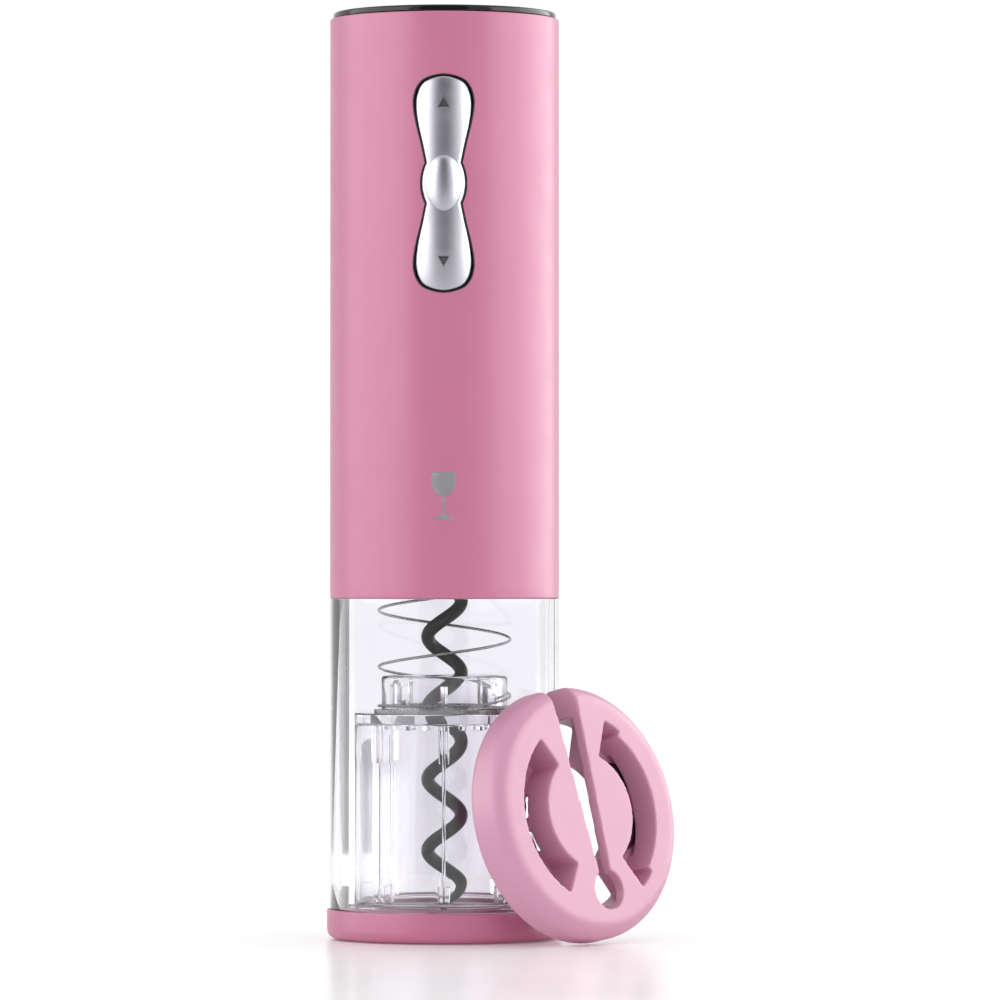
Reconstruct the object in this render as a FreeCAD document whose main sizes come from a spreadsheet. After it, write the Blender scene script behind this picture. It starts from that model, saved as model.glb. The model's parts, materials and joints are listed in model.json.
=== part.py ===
import FreeCAD, Part
import math
import os
import re
import Sketcher
from FreeCAD import Placement, Rotation, Vector

# Electric wine opener, standing on its base ring, with its foil cutter leaning beside it.
# Millimetres. Origin on the opener's axis at the plane it stands on; the rocker faces -Y.

SIZES = {
    # housing and cap
    "body_radius": 26.0, "housing_bore": 24.2, "housing_bottom": 77.1, "housing_top": 208.6,
    "cap_top": 210.1, "cap_radius": 25.3, "cap_plug_radius": 23.95, "cap_plug_bottom": 200.0,
    "ledge_bore": 23.0, "ledge_height": 2.0,
    # base ring, clear sleeve and guide
    "base_radius": 26.7, "base_height": 6.7, "base_round": 2.8, "neck_radius": 16.0,
    "spigot_outer": 23.85, "spigot_inner": 21.9, "spigot_top": 7.6,
    "sleeve_bore": 24.0, "collar_outer": 24.1, "collar_bore": 22.0, "collar_top": 86.0,
    "guide_radius": 20.4, "guide_wall": 1.0, "guide_floor": 8.4, "guide_top": 48.6,
    "fin_inner": 16.2, "fin_width": 0.8, "fin_count": 8, "fin_foot": 4.0,
    "post_width": 2.3, "post_length": 8.8,
    # cork carrier, washer and spring
    "flange_bottom": 48.7, "flange_top": 51.2, "cup_radius": 14.3, "cup_bore": 12.5, "cup_top": 59.6,
    "tooth_count": 24, "spike_count": 8, "washer_inner": 14.4, "washer_outer": 16.0,
    "washer_height": 0.75, "spring_radius": 14.9, "spring_wire": 0.32, "spring_pitch": 12.8,
    "spring_start_angle": -59.0,
    # worm and chuck
    "worm_radius": 3.8, "worm_wire": 1.5, "worm_pitch": 16.18, "worm_bottom": 7.2, "worm_top": 79.6,
    "worm_point_height": 5.5, "worm_start_angle": -100.6, "shank_radius": 3.0, "shank_bottom": 79.0,
    "shank_top": 82.2, "chuck_radius": 7.0, "chuck_bottom": 77.4, "chuck_top": 85.8,
    "chuck_mouth": 5.45, "chuck_screw_height": 83.9, "chuck_screw_radius": 1.4,
    # gearbox
    "plate_bottom": 90.0, "plate_top": 92.5, "gearbox_radius": 22.5, "gearbox_top": 107.5,
    "motor_plate_top": 109.5, "bush_radius": 5.0, "bush_flange": 6.2, "bush_bottom": 87.0,
    "shaft_radius": 3.0, "fit_gap": 0.05, "gear_module": 0.8, "sun_teeth": 12, "planet_teeth": 15,
    "ring_teeth": 42, "planet_orbit": 10.8, "planet_pin": 1.25, "carrier_radius": 15.0,
    "stage_two_bottom": 95.0, "stage_two_top": 99.6, "stage_one_bottom": 101.8,
    "stage_one_top": 106.2, "screw_circle": 20.2, "screw_radius": 1.25, "screw_head": 2.2,
    # motor
    "can_radius": 12.2, "can_wall": 1.0, "can_top": 135.5, "bell_top": 137.5, "motor_boss": 5.0,
    "motor_shaft": 1.0, "rotor_radius": 9.2, "rotor_bottom": 113.5, "rotor_top": 130.0,
    "cage_wall": 1.6, "cage_top": 142.0,
    # battery holder and cells
    "cell_radius": 7.25, "cell_length": 50.5, "cell_offset": 7.9, "cell_centre": 4.0,
    "cell_bottom": 146.6, "holder_radius": 23.6, "holder_front": 12.2, "holder_floor": 143.5,
    "holder_top": 197.0, "contact_sheet": 0.4,
    # rocker switch
    "rocker_centre": 170.0, "rocker_half": 24.0, "lobe_half": 6.55, "lobe_rise": 18.4,
    "waist_half": 4.1, "waist_rise": 4.6, "bulge_half": 4.9, "rocker_back": 20.9,
    "rocker_crown": 10.0, "rocker_front": 27.2, "rocker_gap": 0.35, "bezel_outer": 0.95,
    "housing_cut": 1.0, "bezel_back": 19.4, "pin_depth": 22.0, "pin_radius": 0.7,
    "boss_half": 4.2, "boss_rise": 6.3, "boss_base": 25.0, "boss_front": 28.4,
    "board_back": 13.4, "board_thickness": 1.6, "button_spacing": 14.0, "plunger_radius": 1.6,
    # foil cutter, in its own frame: X across, Y up its slot, Z out of its visible face
    "cutter_radius": 28.7, "cutter_depth": 9.5, "cutter_band": 20.6, "cutter_plate": 13.3,
    "cutter_web": 2.6, "cutter_skirt": 0.9, "cutter_floor": 8.6, "cutter_round": 4.0,
    "cutter_back_round": 1.5, "cutter_notch": 22.0, "cutter_mouth": 3.9, "cutter_neck": 1.7,
    "cutter_slot_foot": 15.0, "cutter_hole_radius": 4.4, "cutter_hole_drop": 18.0,
    "cutter_groove_half": 60.0, "wheel_radius": 4.6, "wheel_orbit": 17.4, "wheel_angle": 18.0,
    "wheel_depth": 7.6, "wheel_thickness": 0.8, "window_height": 1.4, "window_half": 34.0,
    "window_outer": 22.6, "relief_radius": 21.6, "relief_half": 27.0, "wheel_pin": 0.8,
    "cutter_x": 32.95, "cutter_y": -24.85, "cutter_z": 29.75, "cutter_azimuth": 45.0,
    "cutter_lean": 11.6, "cutter_roll": 7.0, "hinge_gap": 0.05,
}

doc = FreeCAD.newDocument("WineOpener")
sheet = doc.addObject("Spreadsheet::Sheet", "Dims")
for row, (alias, number) in enumerate(SIZES.items(), start=1):
    sheet.set("A%d" % row, alias)
    sheet.set("B%d" % row, str(number))
    sheet.setAlias("B%d" % row, alias)
doc.recompute()

NODES = []
FULL_TURN = 360.0
OFF_SEAM = 22.5


# ---- helpers -------------------------------------------------------------------------------

def bound(text):
    """An expression on the sheet; every alias holds an underscore, functions do not."""
    return re.sub(r"[a-z]+_\w+", r"Dims.\g<0>", str(text))


def value(text):
    """The number that a sheet expression gives."""
    result = sheet.evalExpression(bound(text))
    return float(getattr(result, "Value", result))


def tie(sketch, kind, index, position, text):
    """Hold one coordinate of a sketch point to a sheet expression."""
    if abs(value(text)) < 1e-9:
        axis = -2 if kind == "DistanceX" else -1
        sketch.addConstraint(Sketcher.Constraint("PointOnObject", index, position, axis))
        return
    number = sketch.addConstraint(Sketcher.Constraint(kind, -1, 1, index, position, value(text)))
    sketch.setExpression("Constraints[%d]" % number, bound(text))


def curves(sketch, pieces):
    """A closed outline: each piece is (start, end) for a line or (start, middle, end) for an arc."""
    first = sketch.GeometryCount
    for piece in pieces:
        spots = [Vector(value(a), value(b), 0) for a, b in piece]
        sketch.addGeometry(Part.Arc(*spots) if len(spots) == 3 else Part.LineSegment(*spots))
    for i, piece in enumerate(pieces):
        here, following = first + i, first + (i + 1) % len(pieces)
        if len(piece) == 2:
            tie(sketch, "DistanceX", here, 1, piece[0][0])
            tie(sketch, "DistanceY", here, 1, piece[0][1])
            if len(pieces[(i + 1) % len(pieces)]) == 2:
                sketch.addConstraint(Sketcher.Constraint("Coincident", here, 2, following, 1))
            else:
                tie(sketch, "DistanceX", here, 2, piece[1][0])
                tie(sketch, "DistanceY", here, 2, piece[1][1])


def outline(points):
    """A drawing function for a closed straight-sided outline."""
    ring = [(points[i], points[(i + 1) % len(points)]) for i in range(len(points))]
    return lambda sketch: curves(sketch, ring)


def circles(*rings):
    """A drawing function for circles given as (x, y, radius)."""
    def draw(sketch):
        for across, along, radius in rings:
            spot = Vector(value(across), value(along), 0)
            index = sketch.addGeometry(Part.Circle(spot, Vector(0, 0, 1), value(radius)))
            number = sketch.addConstraint(Sketcher.Constraint("Radius", index, value(radius)))
            sketch.setExpression("Constraints[%d]" % number, bound(radius))
            tie(sketch, "DistanceX", index, 3, across)
            tie(sketch, "DistanceY", index, 3, along)
    return draw


def box_outline(x0, y0, x1, y1):
    """A drawing function for a rectangle between two corners."""
    return outline([(x0, y0), (x1, y0), (x1, y1), (x0, y1)])


def sector(inner, outer, middle_angle, half_angle):
    """A drawing function for a ring sector round the sketch origin; angles in degrees."""
    def draw(sketch):
        centre, normal = Vector(0, 0, 0), Vector(0, 0, 1)
        start = math.radians(middle_angle - value(half_angle))
        end = math.radians(middle_angle + value(half_angle))
        arcs = []
        for radius in (inner, outer):
            circle = Part.Circle(centre, normal, value(radius))
            arcs.append(sketch.addGeometry(Part.ArcOfCircle(circle, start, end)))
            sketch.addConstraint(Sketcher.Constraint("Coincident", arcs[-1], 3, -1, 1))
            number = sketch.addConstraint(Sketcher.Constraint("Radius", arcs[-1], value(radius)))
            sketch.setExpression("Constraints[%d]" % number, bound(radius))
        for position, angle in ((1, start), (2, end)):
            near = Vector(math.cos(angle), math.sin(angle), 0) * value(inner)
            far = Vector(math.cos(angle), math.sin(angle), 0) * value(outer)
            side = sketch.addGeometry(Part.LineSegment(near, far))
            sketch.addConstraint(Sketcher.Constraint("Coincident", side, 1, arcs[0], position))
            sketch.addConstraint(Sketcher.Constraint("Coincident", side, 2, arcs[1], position))
    return draw


def node(thing, label):
    """Register a finished sub-part under its name."""
    thing.Label = label
    NODES.append(thing)
    return thing


def new_body(label):
    """A PartDesign body registered as a sub-part."""
    body = doc.addObject("PartDesign::Body", "Body_" + label)
    return node(body, label)


def place(thing, across="0", away="0", up="0"):
    """Put a sub-part at a sheet-bound position."""
    for letter, text in zip("xyz", (across, away, up)):
        thing.setExpression("Placement.Base." + letter, bound(text))


def sketch_on(body, name, role, start="0"):
    """A sketch on one of the body's own origin planes, set off along the plane's normal."""
    sketch = body.newObject("Sketcher::SketchObject", name + "_sketch")
    plane = [item for item in body.Origin.OriginFeatures if item.Role == role][0]
    sketch.AttachmentSupport = (plane, [""])
    sketch.MapMode = "FlatFace"
    sketch.setExpression("AttachmentOffset.Base.z", bound(start))
    return sketch


def spin(body, name, points, cut=False):
    """Revolve a profile of (radius, height) points about the body's Z axis, or cut with it."""
    sketch = sketch_on(body, name, "XZ_Plane")
    outline(points)(sketch)
    feature = body.newObject("PartDesign::Groove" if cut else "PartDesign::Revolution", name)
    feature.Profile = sketch
    feature.ReferenceAxis = (sketch, ["V_Axis"])
    feature.Angle = FULL_TURN
    doc.recompute()
    return feature


def pad(body, name, draw, start, length, role="XY_Plane", cut=False, turn=0.0):
    """Add, or cut, the drawn outline over a length along the plane's normal from start."""
    sketch = sketch_on(body, name, role, start)
    sketch.AttachmentOffset = Placement(sketch.AttachmentOffset.Base,
                                        Rotation(Vector(0, 0, 1), turn))
    draw(sketch)
    before = body.Shape.Volume if body.Tip else 0.0
    feature = body.newObject("PartDesign::Pocket" if cut else "PartDesign::Pad", name)
    feature.Profile = sketch
    feature.setExpression("Length", bound(length))
    feature.Reversed = cut
    doc.recompute()
    if cut and body.Shape.Volume >= before:
        raise RuntimeError("the pocket %s of %s cuts nothing" % (name, body.Label))
    return feature


def polar(body, name, feature, count):
    """Repeat a feature round the body's Z axis."""
    pattern = body.newObject("PartDesign::PolarPattern", name)
    pattern.Originals = [feature]
    pattern.Axis = (feature.Profile[0], ["N_Axis"])
    pattern.Angle = FULL_TURN
    pattern.setExpression("Occurrences", bound(count))
    body.Tip = pattern
    doc.recompute()
    return pattern


def turn_back(body):
    """Bring repeated features, drawn clear of the revolved seam, back to whole eighths."""
    body.Placement = Placement(Vector(0, 0, 0), Rotation(Vector(0, 0, 1), OFF_SEAM))


def fillet(body, name, radius, test):
    """Round the circular edges whose (radius, height) pass the test."""
    names = []
    solid_so_far = body.Tip
    for number, edge in enumerate(solid_so_far.Shape.Edges, start=1):
        curve = edge.Curve
        if isinstance(curve, Part.Circle) and test(curve.Radius, curve.Center.z):
            names.append("Edge%d" % number)
    if not names:
        raise RuntimeError("no edge for %s of %s" % (name, body.Label))
    feature = body.newObject("PartDesign::Fillet", name)
    feature.Base = (solid_so_far, names)
    feature.setExpression("Radius", bound(radius))
    doc.recompute()
    return feature


def near(number, text):
    """True where a measured number equals a sheet expression."""
    return abs(number - value(text)) < 1e-3


def turned(label, points):
    """A plain turned piece."""
    body = new_body(label)
    spin(body, "profile", points)
    return body


def ring_points(inner, outer, bottom, top):
    """Profile of a plain ring."""
    return [(inner, bottom), (outer, bottom), (outer, top), (inner, top)]


def solid(name, kind, **sizes):
    """A Part primitive whose sizes are bound to the sheet."""
    thing = doc.addObject("Part::" + kind, name)
    for field, text in sizes.items():
        thing.setExpression(field, bound(text))
    return thing


def joined(label, things):
    """Several separate solids kept together as one sub-part."""
    group = doc.addObject("Part::Compound", "Group_" + label)
    group.Links = things
    return node(group, label)


def made(label, shape):
    """A sub-part whose shape comes from Part functions."""
    feature = doc.addObject("Part::Feature", "Shape_" + label)
    feature.Shape = shape
    return node(feature, label)


# ---- curved and toothed shapes -------------------------------------------------------------

def helix_rod(radius, pitch, bottom, top, start_angle, wire, end_wire=None):
    """A round rod swept up a right-handed helix, its section changing evenly if asked."""
    path = Part.makeHelix(pitch, top - bottom, radius)
    path.rotate(Vector(0, 0, 0), Vector(0, 0, 1), start_angle)
    path.translate(Vector(0, 0, bottom))
    edge = path.Edges[0]
    sweep = Part.BRepOffsetAPI.MakePipeShell(Part.Wire([edge]))
    sweep.setFrenetMode(True)
    sections = [(edge.FirstParameter, wire)]
    if end_wire is not None:
        sections.append((edge.LastParameter, end_wire))
    for spot, size in sections:
        circle = Part.makeCircle(size, edge.valueAt(spot), edge.tangentAt(spot))
        sweep.add(Part.Wire([circle]))
    sweep.build()
    sweep.makeSolid()
    return sweep.shape()


def involute(angle):
    return math.tan(angle) - angle


def gear_prism(teeth, tip, root, slack, bottom, top):
    """A spur gear with involute flanks; slack is taken off each side of a tooth."""
    pressure = math.radians(25.0)
    pitch_radius = value("gear_module") * teeth / 2
    base_radius = pitch_radius * math.cos(pressure)
    flank = []
    steps = 4
    for step in range(steps + 1):
        radius = root + (tip - root) * step / steps
        roll = math.acos(min(1.0, base_radius / radius))
        half = math.pi / (2 * teeth) + involute(pressure) - involute(roll) - slack / pitch_radius
        flank.append((radius, half))
    corners = []
    for tooth in range(teeth):
        middle = 2 * math.pi * tooth / teeth
        side = [(radius, middle - half) for radius, half in flank]
        side += [(radius, middle + half) for radius, half in reversed(flank)]
        for radius, angle in side:
            corners.append(Vector(radius * math.cos(angle), radius * math.sin(angle), bottom))
    corners.append(corners[0])
    face = Part.Face(Part.makePolygon(corners))
    return face.extrude(Vector(0, 0, top - bottom))


def outer_gear(teeth, bottom, top):
    """A sun or planet gear: stub teeth on a pitch circle of module x teeth."""
    module = value("gear_module")
    tooth_slack = 0.06
    pitch_radius = module * teeth / 2
    return gear_prism(teeth, pitch_radius + 0.8 * module, pitch_radius - 1.1 * module,
                      tooth_slack, bottom, top)


# ---- base, sleeve and guide ----------------------------------------------------------------

def make_base_ring():
    body = turned("base_ring", [
        ("neck_radius", "0"), ("base_radius", "0"), ("base_radius", "base_height"),
        ("spigot_outer", "base_height"), ("spigot_outer", "spigot_top"),
        ("spigot_inner", "spigot_top"), ("spigot_inner", "base_height"),
        ("neck_radius", "base_height")])
    fillet(body, "foot_round", "base_round", lambda r, z: near(r, "base_radius") and near(z, "0"))
    fillet(body, "top_round", "0.5",
           lambda r, z: near(r, "base_radius") and near(z, "base_height"))


def make_sleeve():
    body = turned("clear_sleeve", [
        ("sleeve_bore", "base_height"), ("body_radius", "base_height"),
        ("body_radius", "housing_bottom"), ("collar_outer", "housing_bottom"),
        ("collar_outer", "collar_top"), ("collar_bore", "collar_top"),
        ("collar_bore", "housing_bottom - 0.3"), ("sleeve_bore", "housing_bottom - 1")])
    fillet(body, "lower_round", "0.4",
           lambda r, z: near(r, "body_radius") and near(z, "base_height"))
    fillet(body, "upper_round", "0.3",
           lambda r, z: near(r, "body_radius") and near(z, "housing_bottom"))


def make_guide():
    """Clear tube with inner fins that centre the bottle neck, standing on a flat floor ring."""
    body = turned("bottle_guide", [
        ("fin_inner", "base_height"), ("spigot_inner - 0.1", "base_height"),
        ("spigot_inner - 0.1", "guide_floor"), ("guide_radius", "guide_floor"),
        ("guide_radius", "guide_top"), ("guide_radius - guide_wall", "guide_top"),
        ("guide_radius - guide_wall", "guide_floor"), ("fin_inner", "guide_floor")])
    root = "guide_radius - guide_wall + 0.3"
    fin = pad(body, "fin", box_outline("fin_inner", "-fin_width/2", root, "fin_width/2"),
              "guide_floor - 0.5", "guide_top - guide_floor + 0.5", turn=OFF_SEAM)
    polar(body, "fins", fin, "fin_count")
    post = pad(body, "post", box_outline("fin_inner", "-post_width/2", root, "post_width/2"),
               "guide_top - post_length", "post_length", turn=OFF_SEAM)
    polar(body, "posts", post, "fin_count")
    foot = pad(body, "foot", outline([
        ("fin_inner", "-fin_width*1.5"), (root, "-fin_width*2.5"), (root, "fin_width*2.5"),
        ("fin_inner", "fin_width*1.5")]), "guide_floor - 0.5", "fin_foot", turn=OFF_SEAM)
    polar(body, "feet", foot, "fin_count")
    turn_back(body)


def make_carrier():
    """Clear cup and flange that ride up on the bottle's lip, with gripping teeth below."""
    body = turned("cork_carrier", [
        ("cup_bore", "flange_bottom"), ("guide_radius", "flange_bottom"),
        ("guide_radius", "flange_top"), ("cup_radius", "flange_top"), ("cup_radius", "cup_top"),
        ("cup_bore", "cup_top")])
    fillet(body, "cup_round", "0.9", lambda r, z: near(r, "cup_radius") and near(z, "cup_top"))
    fillet(body, "flange_round", "0.4",
           lambda r, z: near(r, "guide_radius") and near(z, "flange_top"))
    make_grips()
    turned("carrier_washer", ring_points(
        "washer_inner", "washer_outer", "flange_top", "flange_top + washer_height"))


def make_grips():
    """Insert that keeps a cork from turning: teeth under the flange and spikes in the cup."""
    body = turned("carrier_grips", [
        ("cup_bore - 0.5", "flange_bottom - 0.4"), ("15.9", "flange_bottom - 0.4"),
        ("15.9", "flange_bottom"), ("cup_bore", "flange_bottom"),
        ("cup_bore", "flange_top + 6"), ("cup_bore - 0.5", "flange_top + 6")])
    tooth = pad(body, "tooth", outline([
        ("13", "-0.35"), ("15.8", "-0.7"), ("15.8", "0.7"), ("13", "0.35")]),
        "flange_bottom - 1.5", "1.2", turn=OFF_SEAM / 3)
    polar(body, "teeth", tooth, "tooth_count")
    spike = pad(body, "spike", outline([
        ("cup_bore - 0.3", "-0.9"), ("cup_bore - 0.3", "0.9"), ("cup_bore - 1.6", "0")]),
        "flange_top + 1.2", "4.8", turn=OFF_SEAM)
    polar(body, "spikes", spike, "spike_count")
    turn_back(body)


def make_carrier_spring():
    """Compression spring: one closed coil, then open coils up to the end plate."""
    wire = value("spring_wire")
    bottom = value("flange_top + washer_height") + wire
    closed_rise = 0.7
    radius, pitch = value("spring_radius"), value("spring_pitch")
    start = value("spring_start_angle")
    closed = helix_rod(radius, closed_rise, bottom, bottom + closed_rise, start, wire)
    top = value("plate_bottom") - wire - 0.02
    opened = helix_rod(radius, pitch, bottom + closed_rise, top, start, wire)
    made("carrier_spring", closed.fuse(opened))


# ---- worm and chuck ------------------------------------------------------------------------

def make_worm():
    """Right-handed wire worm: a sharpened first stretch, then full wire up into a round shank."""
    radius, pitch, wire = value("worm_radius"), value("worm_pitch"), value("worm_wire")
    bottom, top, point = value("worm_bottom"), value("worm_top"), value("worm_point_height")
    start = value("worm_start_angle")
    tip_wire = 0.4
    turn_on = start + FULL_TURN * point / pitch
    tip = helix_rod(radius, pitch, bottom, bottom + point, start, tip_wire, wire)
    rod = helix_rod(radius, pitch, bottom + point, top, turn_on, wire)
    shank = Part.makeCylinder(value("shank_radius"), value("shank_top - shank_bottom"),
                              Vector(0, 0, value("shank_bottom")))
    made("worm", tip.fuse(rod).fuse(shank))


def make_chuck():
    body = turned("worm_chuck", [
        ("chuck_mouth", "chuck_bottom"), ("chuck_radius", "chuck_bottom"),
        ("chuck_radius", "chuck_top"), ("shank_radius", "chuck_top"),
        ("shank_radius", "chuck_bottom + 2.8"), ("chuck_mouth", "chuck_bottom + 2.8")])
    pad(body, "screw_hole", circles(("0", "chuck_screw_height", "chuck_screw_radius")),
        "shank_radius - 0.5", "chuck_radius", role="YZ_Plane", cut=True)
    fillet(body, "lower_round", "0.6",
           lambda r, z: near(r, "chuck_radius") and near(z, "chuck_bottom"))
    screw = new_body("chuck_screw")
    pad(screw, "thread", circles(("0", "chuck_screw_height", "chuck_screw_radius")),
        "shank_radius", "chuck_radius - shank_radius - 0.3", role="YZ_Plane")


# ---- gearbox -------------------------------------------------------------------------------

def circle_of(count, radius, size):
    """Hole or boss circles evenly spaced round the axis, the first at 30 degrees."""
    spots = []
    for i in range(count):
        angle = 30 + i * FULL_TURN / count
        spots.append(("%s * cos(%g deg)" % (radius, angle), "%s * sin(%g deg)" % (radius, angle),
                      size))
    return circles(*spots)


def make_end_plate():
    body = turned("gearbox_end_plate", [
        ("bush_radius", "bush_bottom"), ("chuck_radius + 1", "bush_bottom"),
        ("chuck_radius + 1", "plate_bottom"), ("collar_outer", "plate_bottom"),
        ("collar_outer", "plate_top"), ("bush_radius", "plate_top")])
    pad(body, "screw_holes", circle_of(3, "screw_circle", "screw_radius"), "plate_bottom + 0.5",
        "3", cut=True)
    turned("output_bush", [
        ("shaft_radius + fit_gap", "bush_bottom - 1"), ("bush_flange", "bush_bottom - 1"),
        ("bush_flange", "bush_bottom"), ("bush_radius", "bush_bottom"),
        ("bush_radius", "plate_top"), ("shaft_radius + fit_gap", "plate_top")])


def make_ring_housing():
    """Gearbox barrel with one long ring gear that serves both stages."""
    bottom, top = value("plate_top"), value("gearbox_top")
    module, teeth = value("gear_module"), int(value("ring_teeth"))
    pitch_radius = module * teeth / 2
    ring_slack = -0.06
    barrel = Part.makeCylinder(value("gearbox_radius"), top - bottom, Vector(0, 0, bottom))
    space = gear_prism(teeth, pitch_radius + module, pitch_radius - 0.8 * module, ring_slack,
                       bottom - 1, top + 1)
    barrel = barrel.cut(space)
    for i in range(3):
        angle = math.radians(30 + 120 * i)
        spot = Vector(value("screw_circle") * math.cos(angle),
                      value("screw_circle") * math.sin(angle), bottom - 1)
        barrel = barrel.cut(Part.makeCylinder(value("screw_radius"), top - bottom + 2, spot))
    made("ring_gear_housing", barrel)


def planet_spots():
    orbit = value("planet_orbit")
    return [Vector(orbit * math.cos(a), orbit * math.sin(a), 0)
            for a in (0.0, 2 * math.pi / 3, 4 * math.pi / 3)]


def make_planets(stage, bottom, top):
    teeth = int(value("planet_teeth"))
    bore = value("planet_pin") + value("fit_gap")
    for letter, spot in zip("abc", planet_spots()):
        gear = outer_gear(teeth, bottom, top)
        gear = gear.cut(Part.makeCylinder(bore, top - bottom + 2, Vector(0, 0, bottom - 1)))
        planet = made("planet_%s_%s" % (stage, letter), gear)
        planet.Placement = Placement(spot, Rotation())


def pin_circles():
    spots = []
    for angle in (0, 120, 240):
        spots.append(("planet_orbit * cos(%d deg)" % angle, "planet_orbit * sin(%d deg)" % angle,
                      "planet_pin"))
    return circles(*spots)


def make_stage_two():
    body = turned("output_carrier", [
        ("0", "shank_top + 0.1"), ("shaft_radius", "shank_top + 0.1"),
        ("shaft_radius", "plate_top + 0.3"), ("carrier_radius", "plate_top + 0.3"),
        ("carrier_radius", "stage_two_bottom - 0.2"), ("0", "stage_two_bottom - 0.2")])
    pad(body, "pins", pin_circles(), "stage_two_bottom - 0.3", "4.9")
    make_planets("two", value("stage_two_bottom"), value("stage_two_top"))
    bottom, top = value("stage_two_bottom + 0.1"), value("stage_two_top + 0.4")
    sun = outer_gear(int(value("sun_teeth")), bottom, top)
    hub = Part.makeCylinder(value("shaft_radius"), value("stage_one_bottom - 0.2") - top,
                            Vector(0, 0, top))
    made("sun_gear", sun.fuse(hub))


def make_stage_one():
    body = turned("input_carrier", ring_points(
        "shaft_radius", "carrier_radius - 0.5", "stage_two_top + 0.4", "stage_one_bottom - 0.2"))
    pad(body, "pins", pin_circles(), "stage_one_bottom - 0.3", "4.7")
    bottom, top = value("stage_one_bottom"), value("stage_one_top")
    make_planets("one", bottom, top)
    pinion = outer_gear(int(value("sun_teeth")), bottom + 0.1, top + 0.2)
    bore = Part.makeCylinder(value("motor_shaft"), top - bottom + 2, Vector(0, 0, bottom - 1))
    made("motor_pinion", pinion.cut(bore))


# ---- motor ---------------------------------------------------------------------------------

def make_motor_plate():
    body = turned("motor_plate", ring_points(
        "motor_boss + 0.1", "gearbox_radius", "gearbox_top", "motor_plate_top"))
    pad(body, "screw_holes", circle_of(3, "screw_circle", "screw_radius"), "gearbox_top - 1", "4",
        cut=True)
    pad(body, "motor_holes", circles(("8.5", "0", "1.1"), ("-8.5", "0", "1.1")),
        "gearbox_top - 1", "4", cut=True)
    screws = []
    for side in (-1, 1):
        shank = solid("MotorScrew", "Cylinder", Radius="1.1", Height="2.9")
        place(shank, "%d*8.5" % side, "0", "motor_plate_top - 2")
        head = solid("MotorScrewHead", "Cylinder", Radius="1.9", Height="0.8")
        place(head, "%d*8.5" % side, "0", "gearbox_top - 0.8")
        screw = doc.addObject("Part::MultiFuse", "MotorScrewFused")
        screw.Shapes = [shank, head]
        screws.append(screw)
    joined("motor_screws", screws)


def make_motor_shell():
    can = turned("motor_can", [
        ("motor_shaft + fit_gap", "gearbox_top + 0.1"), ("motor_boss", "gearbox_top + 0.1"),
        ("motor_boss", "motor_plate_top"), ("can_radius", "motor_plate_top"),
        ("can_radius", "can_top"), ("can_radius - can_wall", "can_top"),
        ("can_radius - can_wall", "motor_plate_top + 1"),
        ("motor_shaft + fit_gap", "motor_plate_top + 1")])
    pad(can, "screw_holes", circles(("8.5", "0", "1.1"), ("-8.5", "0", "1.1")),
        "motor_plate_top - 1", "3", cut=True)
    turned("motor_end_bell", [
        ("motor_shaft + fit_gap", "can_top - 2"), ("can_radius - can_wall", "can_top - 2"),
        ("can_radius - can_wall", "can_top"), ("can_radius", "can_top"),
        ("can_radius", "bell_top"), ("motor_shaft + fit_gap", "bell_top")])
    magnets = []
    for start_angle in (-65, 115):
        outer = solid("MagnetOuter", "Cylinder", Radius="can_radius - can_wall", Height="20",
                      Angle="130")
        inner = solid("MagnetInner", "Cylinder", Radius="rotor_radius + 0.4", Height="20")
        magnet = doc.addObject("Part::Cut", "Magnet")
        magnet.Base = outer
        magnet.Tool = inner
        spin_to = Rotation(Vector(0, 0, 1), start_angle)
        magnet.Placement = Placement(Vector(0, 0, value("rotor_bottom - 2")), spin_to)
        magnets.append(magnet)
    joined("motor_magnets", magnets)


def make_rotor():
    """Three-pole wound rotor: laminated core, copper windings and shaft with commutator."""
    core = turned("rotor_core", ring_points(
        "motor_shaft", "rotor_radius", "rotor_bottom", "rotor_top"))
    slot = pad(core, "slot", outline([
        ("3.4", "-1.2"), ("7.9", "-4.6"), ("7.9", "4.6"), ("3.4", "1.2")]),
        "rotor_bottom - 1", "rotor_top - rotor_bottom + 2", cut=True)
    polar(core, "slots", slot, "3")
    mouth = pad(core, "mouth", box_outline("7.5", "-0.7", "10", "0.7"),
                "rotor_bottom - 1", "rotor_top - rotor_bottom + 2", cut=True)
    polar(core, "mouths", mouth, "3")
    windings = turned("rotor_windings", ring_points("3.4", "7.6", "rotor_top", "rotor_top + 2.4"))
    wound = pad(windings, "wound", outline([
        ("3.6", "-1.1"), ("7.6", "-4.1"), ("7.6", "4.1"), ("3.6", "1.1")]),
        "rotor_bottom - 2", "rotor_top - rotor_bottom + 2.2")
    polar(windings, "bundles", wound, "3")
    spin(windings, "lower_turns", ring_points("3.4", "7.6", "rotor_bottom - 2.4", "rotor_bottom"))
    turned("rotor_shaft", [
        ("0", "stage_one_bottom"), ("motor_shaft", "stage_one_bottom"),
        ("motor_shaft", "rotor_top + 2.5"), ("2.7", "rotor_top + 2.5"),
        ("2.7", "can_top - 2.1"), ("motor_shaft", "can_top - 2.1"),
        ("motor_shaft", "bell_top - 0.2"), ("0", "bell_top - 0.2")])


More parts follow.
